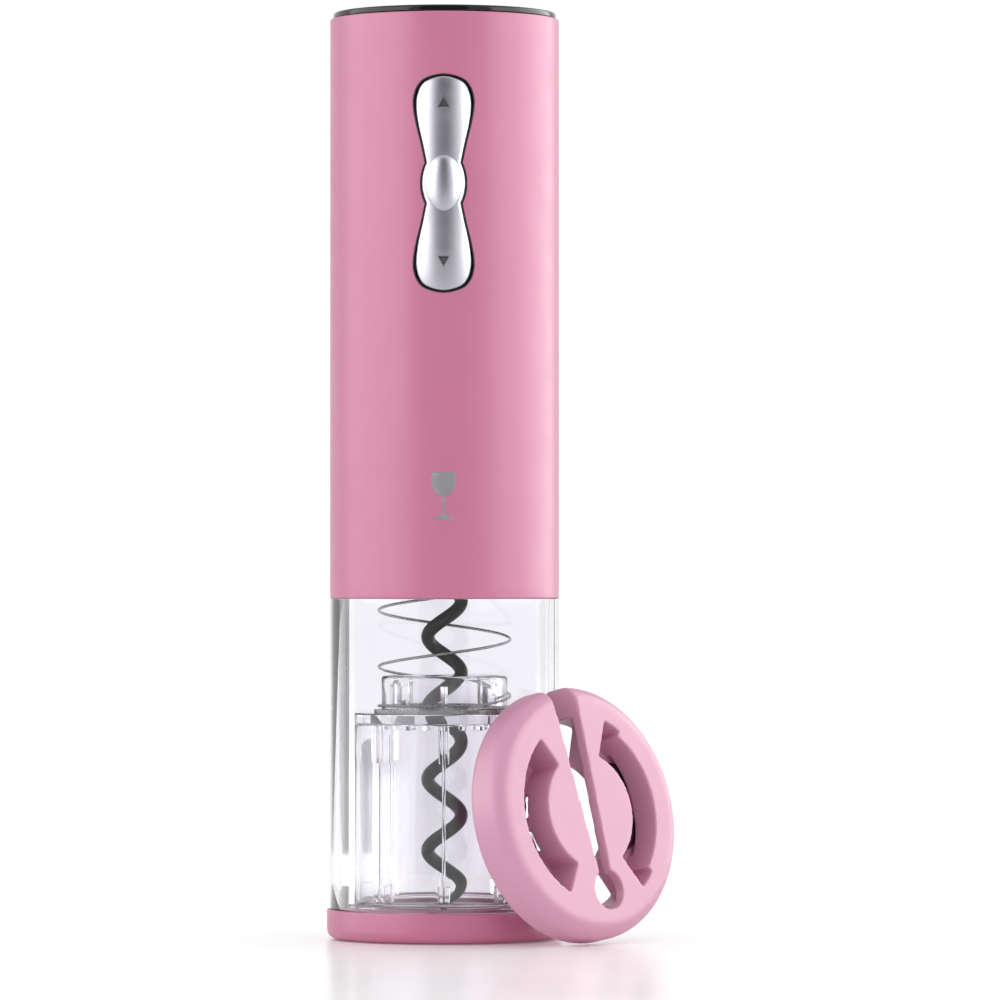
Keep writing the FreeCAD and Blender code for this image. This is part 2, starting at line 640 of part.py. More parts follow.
def make_cage():
    """Plastic tube that holds the motor and carries the battery holder."""
    body = turned("motor_cage", [
        ("can_radius + 0.1", "motor_plate_top"), ("gearbox_radius", "motor_plate_top"),
        ("gearbox_radius", "motor_plate_top + 1.6"),
        ("can_radius + cage_wall", "motor_plate_top + 1.6"),
        ("can_radius + cage_wall", "cage_top - 2"), ("gearbox_radius", "cage_top - 2"),
        ("gearbox_radius", "cage_top"), ("can_radius + 0.1", "cage_top")])
    pad(body, "screw_holes", circle_of(3, "screw_circle", "screw_radius"), "motor_plate_top - 1",
        "3", cut=True)
    window = pad(body, "window", sector("can_radius - 1", "can_radius + 3", 0, "20"),
                 "motor_plate_top + 6", "18", cut=True)
    polar(body, "windows", window, "4")
    pad(body, "lead_notch", box_outline("-6.5", "-24", "6.5", "-6"), "cage_top - 5", "6", cut=True)
    screws = []
    for i in range(3):
        angle = 30 + 120 * i
        spot = ("screw_circle * cos(%d deg)" % angle, "screw_circle * sin(%d deg)" % angle)
        shank = solid("GearScrew", "Cylinder", Radius="screw_radius", Height="20.2")
        place(shank, spot[0], spot[1], "plate_bottom + 0.9")
        head = solid("GearScrewHead", "Cylinder", Radius="screw_head", Height="1.6")
        place(head, spot[0], spot[1], "motor_plate_top + 1.6")
        screw = doc.addObject("Part::MultiFuse", "GearScrewFused")
        screw.Shapes = [shank, head]
        screws.append(screw)
    joined("gearbox_screws", screws)


def make_leads():
    """Two leads from the motor's terminals up to the lower edge of the switch board."""
    lead_radius = 0.55
    for label, side in (("lead_red", 1), ("lead_black", -1)):
        across = 4.0 * side
        depth = value("board_back + board_thickness/2")
        start, finish = value("bell_top"), value("rocker_centre") - 24
        low, high = start + 2.2, start + 4.4
        spots = [Vector(across, -8, start), Vector(across, -8, low), Vector(across, -depth, high),
                 Vector(across, -depth, finish)]
        made(label, bent_tube(spots, lead_radius))


def bent_tube(spots, radius):
    """A round tube along straight runs joined by tangent arcs."""
    edges = []
    last = spots[0]
    for before, corner, after in zip(spots, spots[1:], spots[2:]):
        back, ahead = (before - corner), (after - corner)
        turn = math.pi - back.getAngle(ahead)
        reach = 0.45 * min(back.Length, ahead.Length)
        arc_radius = reach / math.tan(turn / 2)
        back.normalize()
        ahead.normalize()
        inward = (back + ahead).normalize()
        start, end = corner + back * reach, corner + ahead * reach
        centre = corner + inward * (arc_radius / math.cos(turn / 2))
        middle = centre - inward * arc_radius
        edges.append(Part.LineSegment(last, start).toShape())
        edges.append(Part.Arc(start, middle, end).toShape())
        last = end
    edges.append(Part.LineSegment(last, spots[-1]).toShape())
    circle = Part.makeCircle(radius, spots[0], spots[1] - spots[0])
    return Part.Wire(edges).makePipeShell([Part.Wire([circle])], True, True)


# ---- batteries -----------------------------------------------------------------------------

CELLS = [("battery_1", -1, -1, True), ("battery_2", 1, -1, False),
         ("battery_3", -1, 1, False), ("battery_4", 1, 1, True)]


def cell_spot(side, depth):
    return "%d*cell_offset" % side, "cell_centre + %d*cell_offset" % depth


def make_cells():
    for label, side, depth, upright in CELLS:
        cell = turned(label, [
            ("0", "0"), ("cell_radius - 0.4", "0"), ("cell_radius", "0.4"),
            ("cell_radius", "cell_length - 1.6"), ("cell_radius - 0.4", "cell_length - 1.2"),
            ("2.75", "cell_length - 1.2"), ("2.75", "cell_length"), ("0", "cell_length")])
        across, away = cell_spot(side, depth)
        if upright:
            place(cell, across, away, "cell_bottom")
        else:
            flip = Rotation(Vector(1, 0, 0), 180)
            cell.Placement = Placement(Vector(0, 0, 0), flip)
            place(cell, across, away, "cell_bottom + cell_length")


def holder_shape(sketch):
    """A circle with its front sliced off flat."""
    front = "-holder_front"
    half = "sqrt(holder_radius^2 - holder_front^2)"
    curves(sketch, [((half, front), ("0", "holder_radius"), ("-" + half, front)),
                    (("-" + half, front), (half, front))])


def make_holder():
    """Battery holder: four bores in a drum with a flat front that carries the switch board."""
    body = new_body("battery_holder")
    pad(body, "drum", holder_shape, "cage_top", "holder_top - cage_top")
    bores = [cell_spot(side, depth) + ("cell_radius + 0.15",) for _, side, depth, _ in CELLS]
    pad(body, "bores", circles(*bores), "holder_floor", "holder_top - holder_floor + 1", cut=True)
    pad(body, "left_relief", box_outline("-22", "0.5", "-17.2", "7.5"), "holder_floor",
        "holder_top - holder_floor + 1", cut=True)
    pad(body, "right_relief", box_outline("17.2", "0.5", "22", "7.5"), "holder_floor",
        "holder_top - holder_floor + 1", cut=True)
    for name, depth in (("front_channel", -1), ("back_channel", 1)):
        middle = "cell_centre + %d*cell_offset" % depth
        pad(body, name, box_outline("-5", middle + " - 4.2", "5", middle + " + 4.2"),
            "holder_floor", "contact_sheet + 0.1", cut=True)
    for name, left, right in (("left_rail", "-9.4", "-7.6"), ("right_rail", "7.6", "9.4")):
        pad(body, name, box_outline(left, "-board_back - board_thickness - 0.4", right,
                                    "-holder_front + 0.2"), "rocker_centre - 24", "48")
    for name, height in (("low_pad", "rocker_centre - 22"), ("high_pad", "rocker_centre + 19")):
        pad(body, name, box_outline("-7", "-board_back", "7", "-holder_front + 0.2"), height, "3")


def contact_coil(across, away, anchor, tip_height):
    """A short coil spring that rises out of a strip to press on the flat end of a cell."""
    wire, coil_radius, coil_pitch = 0.4, 3.0, 1.0
    foot = anchor + wire - value("contact_sheet") / 2 + 0.05
    coil = helix_rod(coil_radius, coil_pitch, foot, tip_height - wire, 0, wire)
    coil.translate(Vector(across, away, 0))
    return coil


def contact_tongue(across, away, anchor, tip_height):
    """A strip tongue bent down in a shallow V to press on the flat end of a cell."""
    sheet, width = value("contact_sheet"), 5.0
    side_view = [(-3.6, anchor), (-0.6, tip_height), (0.6, tip_height), (2.6, tip_height + 1.4),
                 (2.3, tip_height + 1.7), (0.45, tip_height + sheet),
                 (-0.45, tip_height + sheet), (-3.0, anchor)]
    corners = [Vector(across + x, away - width / 2, z) for x, z in side_view]
    face = Part.Face(Part.makePolygon(corners + corners[:1]))
    return face.extrude(Vector(0, width, 0))


def contact_set(label, sheet_bottom, tip_height, sprung, make_spring):
    """Two nickel strips, each joining a pair of cells, with a spring or a button for each cell."""
    pieces = []
    half = value("cell_offset") + 4.5
    width, thickness, button_radius = 8.0, value("contact_sheet"), 2.4
    anchor = sheet_bottom + thickness / 2
    low, high = min(anchor, tip_height), max(anchor, tip_height)
    for _, side, depth, upright in CELLS:
        across = side * value("cell_offset")
        away = value("cell_centre") + depth * value("cell_offset")
        if side == -1:
            corner = Vector(-half, away - width / 2, sheet_bottom)
            pieces.append(Part.makeBox(2 * half, width, thickness, corner))
        if upright == sprung:
            pieces.append(make_spring(across, away, anchor, tip_height))
        else:
            pieces.append(Part.makeCylinder(button_radius, high - low,
                                            Vector(across, away, low)))
    made(label, pieces[0].multiFuse(pieces[1:]))


def make_contacts():
    contact_gap = 0.05
    contact_set("lower_contacts", value("holder_floor"), value("cell_bottom") - contact_gap,
                True, contact_coil)
    contact_set("cap_contacts", value("cap_plug_bottom - contact_sheet"),
                value("cell_bottom + cell_length") + contact_gap, False, contact_tongue)


# ---- housing, cap and rocker ---------------------------------------------------------------

def bowtie(grow):
    """A drawing function for the rocker's two-lobed outline, grown evenly by a margin."""
    def draw(sketch):
        lobe, waist = "lobe_half + " + grow, "waist_half + " + grow
        bulge, end = "bulge_half + " + grow, "rocker_half + " + grow
        high, low = "rocker_centre + lobe_rise", "rocker_centre - lobe_rise"
        knee_up, knee_down = "rocker_centre + waist_rise", "rocker_centre - waist_rise"
        left_lobe, left_waist, left_bulge = "-(%s)" % lobe, "-(%s)" % waist, "-(%s)" % bulge
        curves(sketch, [
            ((lobe, high), ("0", "rocker_centre + " + end), (left_lobe, high)),
            ((left_lobe, high), (left_waist, knee_up)),
            ((left_waist, knee_up), (left_bulge, "rocker_centre"), (left_waist, knee_down)),
            ((left_waist, knee_down), (left_lobe, low)),
            ((left_lobe, low), ("0", "rocker_centre - (%s)" % end), (lobe, low)),
            ((lobe, low), (waist, knee_down)),
            ((waist, knee_down), (bulge, "rocker_centre"), (waist, knee_up)),
            ((waist, knee_up), (lobe, high))])
    return draw


def make_housing():
    body = turned("main_housing", [
        ("housing_bore", "housing_bottom"), ("body_radius", "housing_bottom"),
        ("body_radius", "housing_top"), ("housing_bore", "housing_top"),
        ("housing_bore", "plate_top + ledge_height"), ("ledge_bore", "plate_top + ledge_height"),
        ("ledge_bore", "plate_top"), ("housing_bore", "plate_top")])
    pad(body, "rocker_opening", bowtie("housing_cut"), "15", "15", role="XZ_Plane", cut=True)
    fillet(body, "lower_round", "0.3",
           lambda r, z: near(r, "body_radius") and near(z, "housing_bottom"))
    fillet(body, "upper_round", "0.6",
           lambda r, z: near(r, "body_radius") and near(z, "housing_top"))


def make_cap():
    """Battery cover: a glossy disc with a skirt and a central drum that carries the contacts."""
    body = turned("top_cap", [
        ("0", "cap_plug_bottom"), ("17", "cap_plug_bottom"), ("17", "housing_top - 1.5"),
        ("22", "housing_top - 1.5"), ("22", "cap_plug_bottom"),
        ("cap_plug_radius", "cap_plug_bottom"), ("cap_plug_radius", "housing_top"),
        ("cap_radius", "housing_top"), ("cap_radius", "cap_top"), ("0", "cap_top")])
    fillet(body, "rim_round", "1", lambda r, z: near(r, "cap_radius") and near(z, "cap_top"))


def make_bezel():
    """Black surround of the rocker, with a flange behind the wall and lugs for the pin."""
    body = new_body("switch_bezel")
    pad(body, "surround", bowtie("bezel_outer"), "bezel_back", "8", role="XZ_Plane")
    pad(body, "flange", bowtie("2.6"), "bezel_back", "1.2", role="XZ_Plane")
    for name, left, right in (("left_lug", "-7", "-5"), ("right_lug", "5", "7")):
        pad(body, name, box_outline(left, "rocker_centre - 2.2", right, "rocker_centre + 2.2"),
            "bezel_back", "3.5", role="XZ_Plane")
    pad(body, "opening", bowtie("rocker_gap"), "bezel_back - 1", "12", role="XZ_Plane", cut=True)
    pad(body, "pin_hole", circles(("-pin_depth", "rocker_centre", "pin_radius + fit_gap")), "-8",
        "16", role="YZ_Plane", cut=True)
    spin(body, "face", ring_points("body_radius + 0.1", "32", "rocker_centre - 30", "rocker_centre + 30"),
         cut=True)


def make_rocker():
    """Silver two-lobed rocker with a crowned face, engraved triangles and an oval centre boss."""
    body = new_body("rocker_button")
    pad(body, "lobes", bowtie("0"), "rocker_back", "rocker_front - rocker_back + 1",
        role="XZ_Plane")
    cut_crown(body, "rocker_crown - rocker_front")
    for name, direction, rise in (("up_mark", 1, "18"), ("down_mark", -1, "-17.4")):
        base = "rocker_centre + %s" % rise
        pad(body, name, outline([
            ("-1.5", "%s - %d*1.1" % (base, direction)), ("1.5", "%s - %d*1.1" % (base, direction)),
            ("0", "%s + %d*1.4" % (base, direction))]), "rocker_front - 0.35", "1",
            role="XZ_Plane", cut=True)
    pad(body, "boss_seat", oval("boss_half + 0.05", "boss_rise + 0.05"), "boss_base", "4",
        role="XZ_Plane", cut=True)
    pad(body, "pin_hole", circles(("-pin_depth", "rocker_centre", "pin_radius")), "-6", "12",
        role="YZ_Plane", cut=True)
    make_boss()
    pin = new_body("rocker_pin")
    pad(pin, "rod", circles(("-pin_depth", "rocker_centre", "pin_radius")), "-6.9", "13.8",
        role="YZ_Plane")


def cut_crown(body, centre):
    """Cut away whatever lies outside a long cylinder, which leaves the crowned face."""
    def draw(sketch):
        box_outline("-12", "-32", "12", "0")(sketch)
        circles(("0", centre, "rocker_crown"))(sketch)
    pad(body, "crown", draw, "rocker_centre - 30", "60", cut=True)


def oval(half, rise):
    """A drawing function for an upright ellipse at the rocker's centre."""
    def draw(sketch):
        centre = Vector(0, value("rocker_centre"), 0)
        top = centre + Vector(0, value(rise), 0)
        side = centre + Vector(value(half), 0, 0)
        sketch.addGeometry(Part.Ellipse(top, side, centre))
    return draw


def make_boss():
    dome = solid("BossDome", "Ellipsoid", Radius1="boss_rise", Radius2="boss_half",
                 Radius3="boss_front - boss_base")
    place(dome, "0", "-boss_base", "rocker_centre")
    front = solid("BossFront", "Box", Length="20", Width="10", Height="30")
    place(front, "-10", "-boss_base - 10", "rocker_centre - 15")
    boss = doc.addObject("Part::Common", "Boss")
    boss.Base = dome
    boss.Tool = front
    node(boss, "rocker_boss")


def make_switches():
    """Switch board with two push switches, whose sprung plungers hold the rocker level."""
    board = new_body("switch_board")
    pad(board, "board", box_outline("-7.5", "rocker_centre - 24", "7.5", "rocker_centre + 24"),
        "board_back", "board_thickness", role="XZ_Plane")
    front = "board_back + board_thickness"
    cases = []
    for label, side in (("plunger_upper", 1), ("plunger_lower", -1)):
        height = "rocker_centre + %d*button_spacing" % side
        case = solid("SwitchCase", "Box", Length="6", Width="3.2", Height="6")
        place(case, "-3", "-(%s) - 3.2" % front, "%s - 3" % height)
        bore = solid("SwitchBore", "Cylinder", Radius="plunger_radius + fit_gap", Height="2.6")
        bore.Placement = Placement(Vector(0, 0, 0), Rotation(Vector(1, 0, 0), 90))
        place(bore, "0", "-(%s) - 0.7" % front, height)
        cut = doc.addObject("Part::Cut", "SwitchCut")
        cut.Base = case
        cut.Tool = bore
        cases.append(cut)
        plunger = new_body(label)
        pad(plunger, "stem", circles(("0", height, "plunger_radius")), "%s + 1.5" % front,
            "rocker_back - 0.15 - (%s) - 1.5" % front, role="XZ_Plane")
    joined("switch_cases", cases)


# ---- foil cutter ---------------------------------------------------------------------------

def cutter_placement():
    """The cutter stands on its rim, turned to its azimuth and leaning back on the sleeve."""
    upright = Rotation(Vector(1, 0, 0), 90 - value("cutter_lean"))
    swivel = Rotation(Vector(0, 0, 1), value("cutter_azimuth"))
    roll = Rotation(Vector(0, 0, 1), value("cutter_roll"))
    spot = Vector(value("cutter_x"), value("cutter_y"), value("cutter_z"))
    return Placement(spot, swivel.multiply(upright).multiply(roll))


def make_cutter_arm(label, side):
    """Half of the split ring: rounded band, deep groove and half plate, hollowed from behind."""
    body = turned(label, [
        ("0", "0"), ("cutter_radius", "0"), ("cutter_radius", "-cutter_depth"),
        ("cutter_plate - cutter_skirt", "-cutter_depth"),
        ("cutter_plate - cutter_skirt", "-cutter_web"), ("0", "-cutter_web")])
    fillet(body, "front_round", "cutter_round", lambda r, z: near(r, "cutter_radius") and near(z, "0"))
    fillet(body, "back_round", "cutter_back_round",
           lambda r, z: near(r, "cutter_radius") and near(z, "-cutter_depth"))
    middle = 0 if side > 0 else 180
    cut_grooves(body, middle)
    pad(body, "slot", outline([
        ("-cutter_neck", "-cutter_slot_foot"), ("cutter_neck", "-cutter_slot_foot"),
        ("cutter_mouth", "30"), ("-cutter_mouth", "30")]),
        "-cutter_depth - 1", "cutter_depth + 2", cut=True)
    pad(body, "hole", circles(("0", "-cutter_hole_drop", "cutter_hole_radius")),
        "-cutter_depth - 1", "cutter_depth + 2", cut=True)
    for end in (90, 270):
        pad(body, "relief", sector("cutter_plate - 2.3", "relief_radius", end, "relief_half"),
            "-cutter_depth - 1", "cutter_depth + 1 - cutter_web", cut=True)
    pad(body, "half", box_outline("%d*30" % -side, "-30", "%d*hinge_gap" % side, "30"),
        "-cutter_depth - 1", "cutter_depth + 2", cut=True)
    spots = []
    for angle in wheel_angles(middle):
        spots.append(("wheel_orbit * cos(%g deg)" % angle, "wheel_orbit * sin(%g deg)" % angle,
                      "wheel_pin"))
    pin_bottom, pin_length = "-cutter_depth + 0.3", "cutter_depth - wheel_depth + 0.6"
    pad(body, "pin_holes", circles(*spots), pin_bottom, pin_length, cut=True)
    body.Placement = cutter_placement()
    pins = []
    for across, along, radius in spots:
        pin = solid("WheelPin", "Cylinder", Radius=radius, Height=pin_length)
        offset = Vector(value(across), value(along), value(pin_bottom))
        pin.Placement = cutter_placement().multiply(Placement(offset, Rotation()))
        pins.append(pin)
    joined(label.replace("arm", "pins"), pins)


def cut_grooves(body, middle):
    """The arc groove, with wider ends on the right, and the wheel windows in band and skirt."""
    on_right = middle == 0
    pad(body, "groove", sector("cutter_plate", "cutter_band", middle if on_right else middle - 3,
                               "cutter_groove_half" if on_right else "cutter_groove_half - 3"),
        "-cutter_floor", "cutter_floor + 1", cut=True)
    for end in (-1, 1) if on_right else ():
        pad(body, "notch", sector("cutter_band - 1", "cutter_notch", middle + end * 53.5, "6.5"),
            "-cutter_floor", "cutter_floor + 1", cut=True)
    pad(body, "window", sector("cutter_band - 2", "window_outer", middle, "window_half"),
        "-wheel_depth - window_height/2", "window_height", cut=True)
    for angle in wheel_angles(middle):
        pad(body, "skirt_window", sector("cutter_plate - 2", "cutter_plate + 0.5", angle, "11"),
            "-wheel_depth - window_height/2", "window_height", cut=True)


def wheel_angles(middle):
    spread = value("wheel_angle")
    return (middle + spread, middle - spread)


def make_wheels():
    """Four bevelled cutting wheels, each turning on its own pin."""
    number = 0
    for middle in (0, 180):
        for angle in wheel_angles(middle):
            number += 1
            wheel = turned("cutter_wheel_%d" % number, [
                ("wheel_pin + fit_gap", "-wheel_thickness/2"),
                ("wheel_radius - 1.2", "-wheel_thickness/2"), ("wheel_radius", "-0.06"),
                ("wheel_radius", "0.06"), ("wheel_radius - 1.2", "wheel_thickness/2"),
                ("wheel_pin + fit_gap", "wheel_thickness/2")])
            turn = math.radians(angle)
            orbit = value("wheel_orbit")
            offset = Vector(orbit * math.cos(turn), orbit * math.sin(turn), -value("wheel_depth"))
            wheel.Placement = cutter_placement().multiply(Placement(offset, Rotation()))


# ---- build and write -----------------------------------------------------------------------

def build():
    make_base_ring()
    make_sleeve()
    make_guide()
    make_carrier()
    make_carrier_spring()
    make_worm()
    make_chuck()
    make_end_plate()
    make_ring_housing()
    make_stage_two()
    make_stage_one()
    make_motor_plate()
    make_motor_shell()
    make_rotor()
    make_cage()
    make_leads()
    make_cells()
    make_holder()
    make_contacts()
    make_housing()
    make_cap()
    make_bezel()
    make_rocker()
    make_switches()
    make_cutter_arm("cutter_right_arm", 1)
    make_cutter_arm("cutter_left_arm", -1)
    make_wheels()


def check():
    doc.recompute()
    for thing in doc.Objects:
        if "Invalid" in thing.State or "Error" in thing.State:
            raise RuntimeError("%s is in state %s" % (thing.Label, thing.State))
    for thing in NODES:
        if thing.Shape.isNull() or not thing.Shape.isValid():
            raise RuntimeError("%s has no valid shape" % thing.Label)
        print("%-20s solids %d  volume %9.1f" % (thing.Label, len(thing.Shape.Solids),
                                                 thing.Shape.Volume))


build()
check()
os.makedirs("parts", exist_ok=True)
for thing in NODES:
    thing.Shape.exportStep("parts/%s.step" % thing.Label)
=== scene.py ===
import json
import math

import bmesh
import bpy
from mathutils import Matrix, Vector

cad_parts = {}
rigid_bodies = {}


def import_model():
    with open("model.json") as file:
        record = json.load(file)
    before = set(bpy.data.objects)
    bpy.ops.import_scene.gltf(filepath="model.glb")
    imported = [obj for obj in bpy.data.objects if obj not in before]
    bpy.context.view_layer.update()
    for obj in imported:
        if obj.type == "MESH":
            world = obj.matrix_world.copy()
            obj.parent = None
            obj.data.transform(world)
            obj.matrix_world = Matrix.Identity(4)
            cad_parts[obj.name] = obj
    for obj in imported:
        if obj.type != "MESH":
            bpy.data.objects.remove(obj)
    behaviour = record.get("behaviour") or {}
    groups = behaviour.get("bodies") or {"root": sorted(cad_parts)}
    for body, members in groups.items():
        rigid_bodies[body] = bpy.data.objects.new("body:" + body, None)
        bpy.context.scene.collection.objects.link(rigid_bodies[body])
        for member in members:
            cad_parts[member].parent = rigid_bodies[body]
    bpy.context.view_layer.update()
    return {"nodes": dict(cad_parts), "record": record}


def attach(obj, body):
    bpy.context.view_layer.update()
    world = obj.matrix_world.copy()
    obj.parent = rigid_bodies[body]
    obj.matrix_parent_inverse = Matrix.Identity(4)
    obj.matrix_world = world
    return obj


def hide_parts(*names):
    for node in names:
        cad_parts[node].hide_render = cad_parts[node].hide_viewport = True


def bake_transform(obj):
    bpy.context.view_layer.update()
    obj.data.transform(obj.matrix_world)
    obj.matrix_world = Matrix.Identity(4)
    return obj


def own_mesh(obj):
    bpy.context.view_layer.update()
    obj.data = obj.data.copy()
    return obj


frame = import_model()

MM = 0.001
SCENE = bpy.context.scene


# ---- materials -----------------------------------------------------------------------------

SMOOTH_BELOW = 35.0     # degrees: edges bent less than this are shaded smooth


class Finish:
    """A material in the making: the node tree with short ways to add patterns to it."""

    def __init__(self, name, colour, rough, metal=0.0):
        self.name = name
        self.material = bpy.data.materials.new(name + "_finish")
        self.material.use_nodes = True
        self.tree = self.material.node_tree
        self.shader = self.tree.nodes["Principled BSDF"]
        self.coords = self.add("ShaderNodeTexCoord").outputs["Object"]
        self.colour = colour
        self.shader.inputs["Metallic"].default_value = metal
        self.shader.inputs["Roughness"].default_value = rough
        self.shader.inputs["Base Color"].default_value = (*colour, 1)

    def add(self, kind, **settings):
        node = self.tree.nodes.new(kind)
        for name, setting in settings.items():
            setattr(node, name, setting)
        return node

    def feed(self, node, **sources):
        """Set or link inputs by name, with _ for a space."""
        for name, source in sources.items():
            socket = node.inputs[name.replace("_", " ")]
            if isinstance(source, bpy.types.NodeSocket):
                self.tree.links.new(source, socket)
            else:
                socket.default_value = source
        return node

    def place(self, stretch):
        """Object coordinates, drawn out along each axis by its share of the stretch."""
        mapping = self.add("ShaderNodeMapping")
        self.feed(mapping, Vector=self.coords, Scale=stretch)
        return mapping.outputs["Vector"]

    def noise(self, size, detail=3.0, stretch=(1, 1, 1)):
        """Noise whose blobs are about size metres across."""
        node = self.add("ShaderNodeTexNoise")
        self.feed(node, Vector=self.place(stretch), Scale=0.5 / size, Detail=detail)
        return node.outputs["Fac"]

    def cells(self, size):
        """Distance to the nearest of scattered points about size metres apart."""
        node = self.add("ShaderNodeTexVoronoi")
        self.feed(node, Vector=self.coords, Scale=1.0 / size)
        return node.outputs["Distance"]

    def waves(self, size, axis, bend):
        """Stripes about size metres apart along an axis, bent out of line."""
        node = self.add("ShaderNodeTexWave", bands_direction=axis)
        self.feed(node, Vector=self.coords, Scale=math.pi / 10 / size, Distortion=bend)
        return node.outputs["Fac"]

    def span(self, source, low, high, start, stop):
        """Map start to low and stop to high, and hold the ends."""
        node = self.add("ShaderNodeMapRange")
        self.feed(node, Value=source, From_Min=start, From_Max=stop, To_Min=low, To_Max=high)
        return node.outputs["Result"]

    def math(self, operation, a, b):
        """One step of arithmetic on two sources or numbers."""
        node = self.add("ShaderNodeMath", operation=operation)
        for socket, source in zip(node.inputs, (a, b)):
            if isinstance(source, bpy.types.NodeSocket):
                self.tree.links.new(source, socket)
            else:
                socket.default_value = source
        return node.outputs["Value"]

    def blend(self, factor, first, second):
        """Mix two colours or colour sources."""
        node = self.add("ShaderNodeMix", data_type="RGBA")
        self.tree.links.new(factor, node.inputs[0])
        for socket, source in ((node.inputs[6], first), (node.inputs[7], second)):
            if isinstance(source, bpy.types.NodeSocket):
                self.tree.links.new(source, socket)
            else:
                socket.default_value = (*source, 1)
        return node.outputs[2]

    def mottle(self, size, amount):
        """The base colour drifts lighter and darker over patches of this size."""
        dark = tuple(c * (1 - amount) for c in self.colour)
        light = tuple(min(1.0, c * (1 + amount)) for c in self.colour)
        tint = self.blend(self.span(self.noise(size), 0, 1, 0.3, 0.7), dark, light)
        return self.paint(tint)

    def paint(self, source):
        """Take the base colour from a source."""
        self.feed(self.shader, Base_Color=source)
        self.tint = source
        return self

    def worn(self, light):
        """Convex edges are rubbed a little lighter."""
        edge = self.add("ShaderNodeNewGeometry").outputs["Pointiness"]
        rubbed = self.math("MULTIPLY", self.span(edge, 0, 0.8, 0.56, 0.72),
                           self.span(self.noise(1.5 * MM, 4.0), 0.2, 1.0, 0.35, 0.65))
        return self.paint(self.blend(rubbed, self.tint, light))

    def gloss(self, low, high, size, stretch=(1, 1, 1)):
        """Roughness that wanders between low and high over patches of this size."""
        self.feed(self.shader, Roughness=self.span(self.noise(size, 4.0, stretch), low, high,
                                                    0.3, 0.7))
        return self

    def relief(self, height, depth):
        """Bump of this depth in metres from a height between 0 and 1."""
        bump = self.add("ShaderNodeBump")
        self.feed(bump, Height=height, Distance=depth)
        if self.shader.inputs["Normal"].is_linked:
            self.feed(bump, Normal=self.shader.inputs["Normal"].links[0].from_socket)
        self.feed(self.shader, Normal=bump.outputs["Normal"])
        return self

    def set(self, **sockets):
        """Constant values, straight on the shader's own sockets."""
        for name, setting in sockets.items():
            self.shader.inputs[name.replace("_", " ")].default_value = setting
        return self


def pink_plastic():
    """Satin moulded plastic with a fine spark-eroded grain."""
    f = Finish("pink_plastic", (0.565, 0.176, 0.3), 0.36)
    f.mottle(18 * MM, 0.02).worn((0.68, 0.34, 0.46)).gloss(0.31, 0.4, 3 * MM)
    f.relief(f.noise(0.16 * MM, 2.0), 0.006 * MM)
    f.relief(f.noise(9 * MM, 1.0), 0.03 * MM)
    return f.set(Specular_IOR_Level=0.5)


def pink_cutter_painted_light():
    """The cutter's pink plastic with its base colour lightened as painted light: it stands in for
    the sheen on the cutter's face and the fill light in its grooves.
    """
    f = Finish("pink_cutter_painted_light", (0.64, 0.31, 0.44), 0.4)
    f.mottle(12 * MM, 0.02).gloss(0.36, 0.46, 3 * MM)
    f.relief(f.noise(0.16 * MM, 2.0), 0.006 * MM)
    return f.set(Specular_IOR_Level=0.45)


def black_gloss():
    """Polished black cover, with a very slight waviness."""
    f = Finish("black_gloss", (0.012, 0.0095, 0.011), 0.1)
    f.mottle(12 * MM, 0.2).worn((0.06, 0.055, 0.06)).gloss(0.07, 0.16, 2.5 * MM)
    f.relief(f.noise(3 * MM, 2.0), 0.004 * MM)
    return f.set(Specular_IOR_Level=0.32)


def black_plastic():
    """Matt moulded black plastic with a fine grain."""
    f = Finish("black_plastic", (0.018, 0.017, 0.019), 0.5)
    f.mottle(6 * MM, 0.25).worn((0.07, 0.07, 0.075)).gloss(0.38, 0.58, 1.2 * MM)
    return f.relief(f.noise(0.2 * MM, 2.0), 0.012 * MM)


def silver_plastic():
    """Metallised plastic: a smooth bright coat over fine flake."""
    f = Finish("silver_plastic", (0.47, 0.47, 0.52), 0.38, 1.0)
    f.mottle(5 * MM, 0.015).worn((0.55, 0.55, 0.6)).gloss(0.35, 0.42, 1.6 * MM)
    return f.relief(f.cells(0.12 * MM), 0.0012 * MM)


def mark_silver():
    """Satin foil of the small mark."""
    f = Finish("mark_silver", (0.72, 0.71, 0.74), 0.25, 1.0)
    f.mottle(3 * MM, 0.02).gloss(0.3, 0.36, 2 * MM)
    return f.relief(f.noise(0.3 * MM), 0.0006 * MM)


def clear_plastic():
    """Polished clear moulding with faint flow ripples and a trace of handling haze."""
    f = Finish("clear_plastic", (0.955, 0.951, 0.968), 0.02)
    f.mottle(14 * MM, 0.006).gloss(0.0, 0.05, 5 * MM)
    f.relief(f.noise(7 * MM, 1.0, (1, 1, 0.35)), 0.02 * MM)
    return f.set(Transmission_Weight=1.0, IOR=1.49)


def steel():
    """Turned steel: rings of tool marks round the Z axis."""
    f = Finish("steel", (0.34, 0.33, 0.34), 0.2, 1.0)
    f.mottle(4 * MM, 0.05).worn((0.75, 0.75, 0.76))
    f.gloss(0.16, 0.28, 0.5 * MM, (0.1, 0.1, 1))
    return f.relief(f.noise(0.08 * MM, 2.0, (0.05, 0.05, 1)), 0.004 * MM)


def spring_steel():
    """Drawn wire, streaked a little along the axis."""
    f = Finish("spring_steel", (0.3, 0.295, 0.3), 0.26, 1.0)
    f.mottle(2 * MM, 0.04).gloss(0.2, 0.32, 0.8 * MM)
    return f.relief(f.noise(0.05 * MM, 2.0, (1, 1, 0.3)), 0.002 * MM)


def black_coated_steel():
    """Non-stick coating on the worm: almost black, slightly glossy, faintly pebbled."""
    f = Finish("black_coated_steel", (0.004, 0.0038, 0.0045), 0.3)
    f.mottle(3 * MM, 0.3).worn((0.03, 0.03, 0.034)).gloss(0.3, 0.44, 1.2 * MM)
    f.relief(f.noise(0.25 * MM, 3.0), 0.01 * MM)
    return f.set(Specular_IOR_Level=0.14)


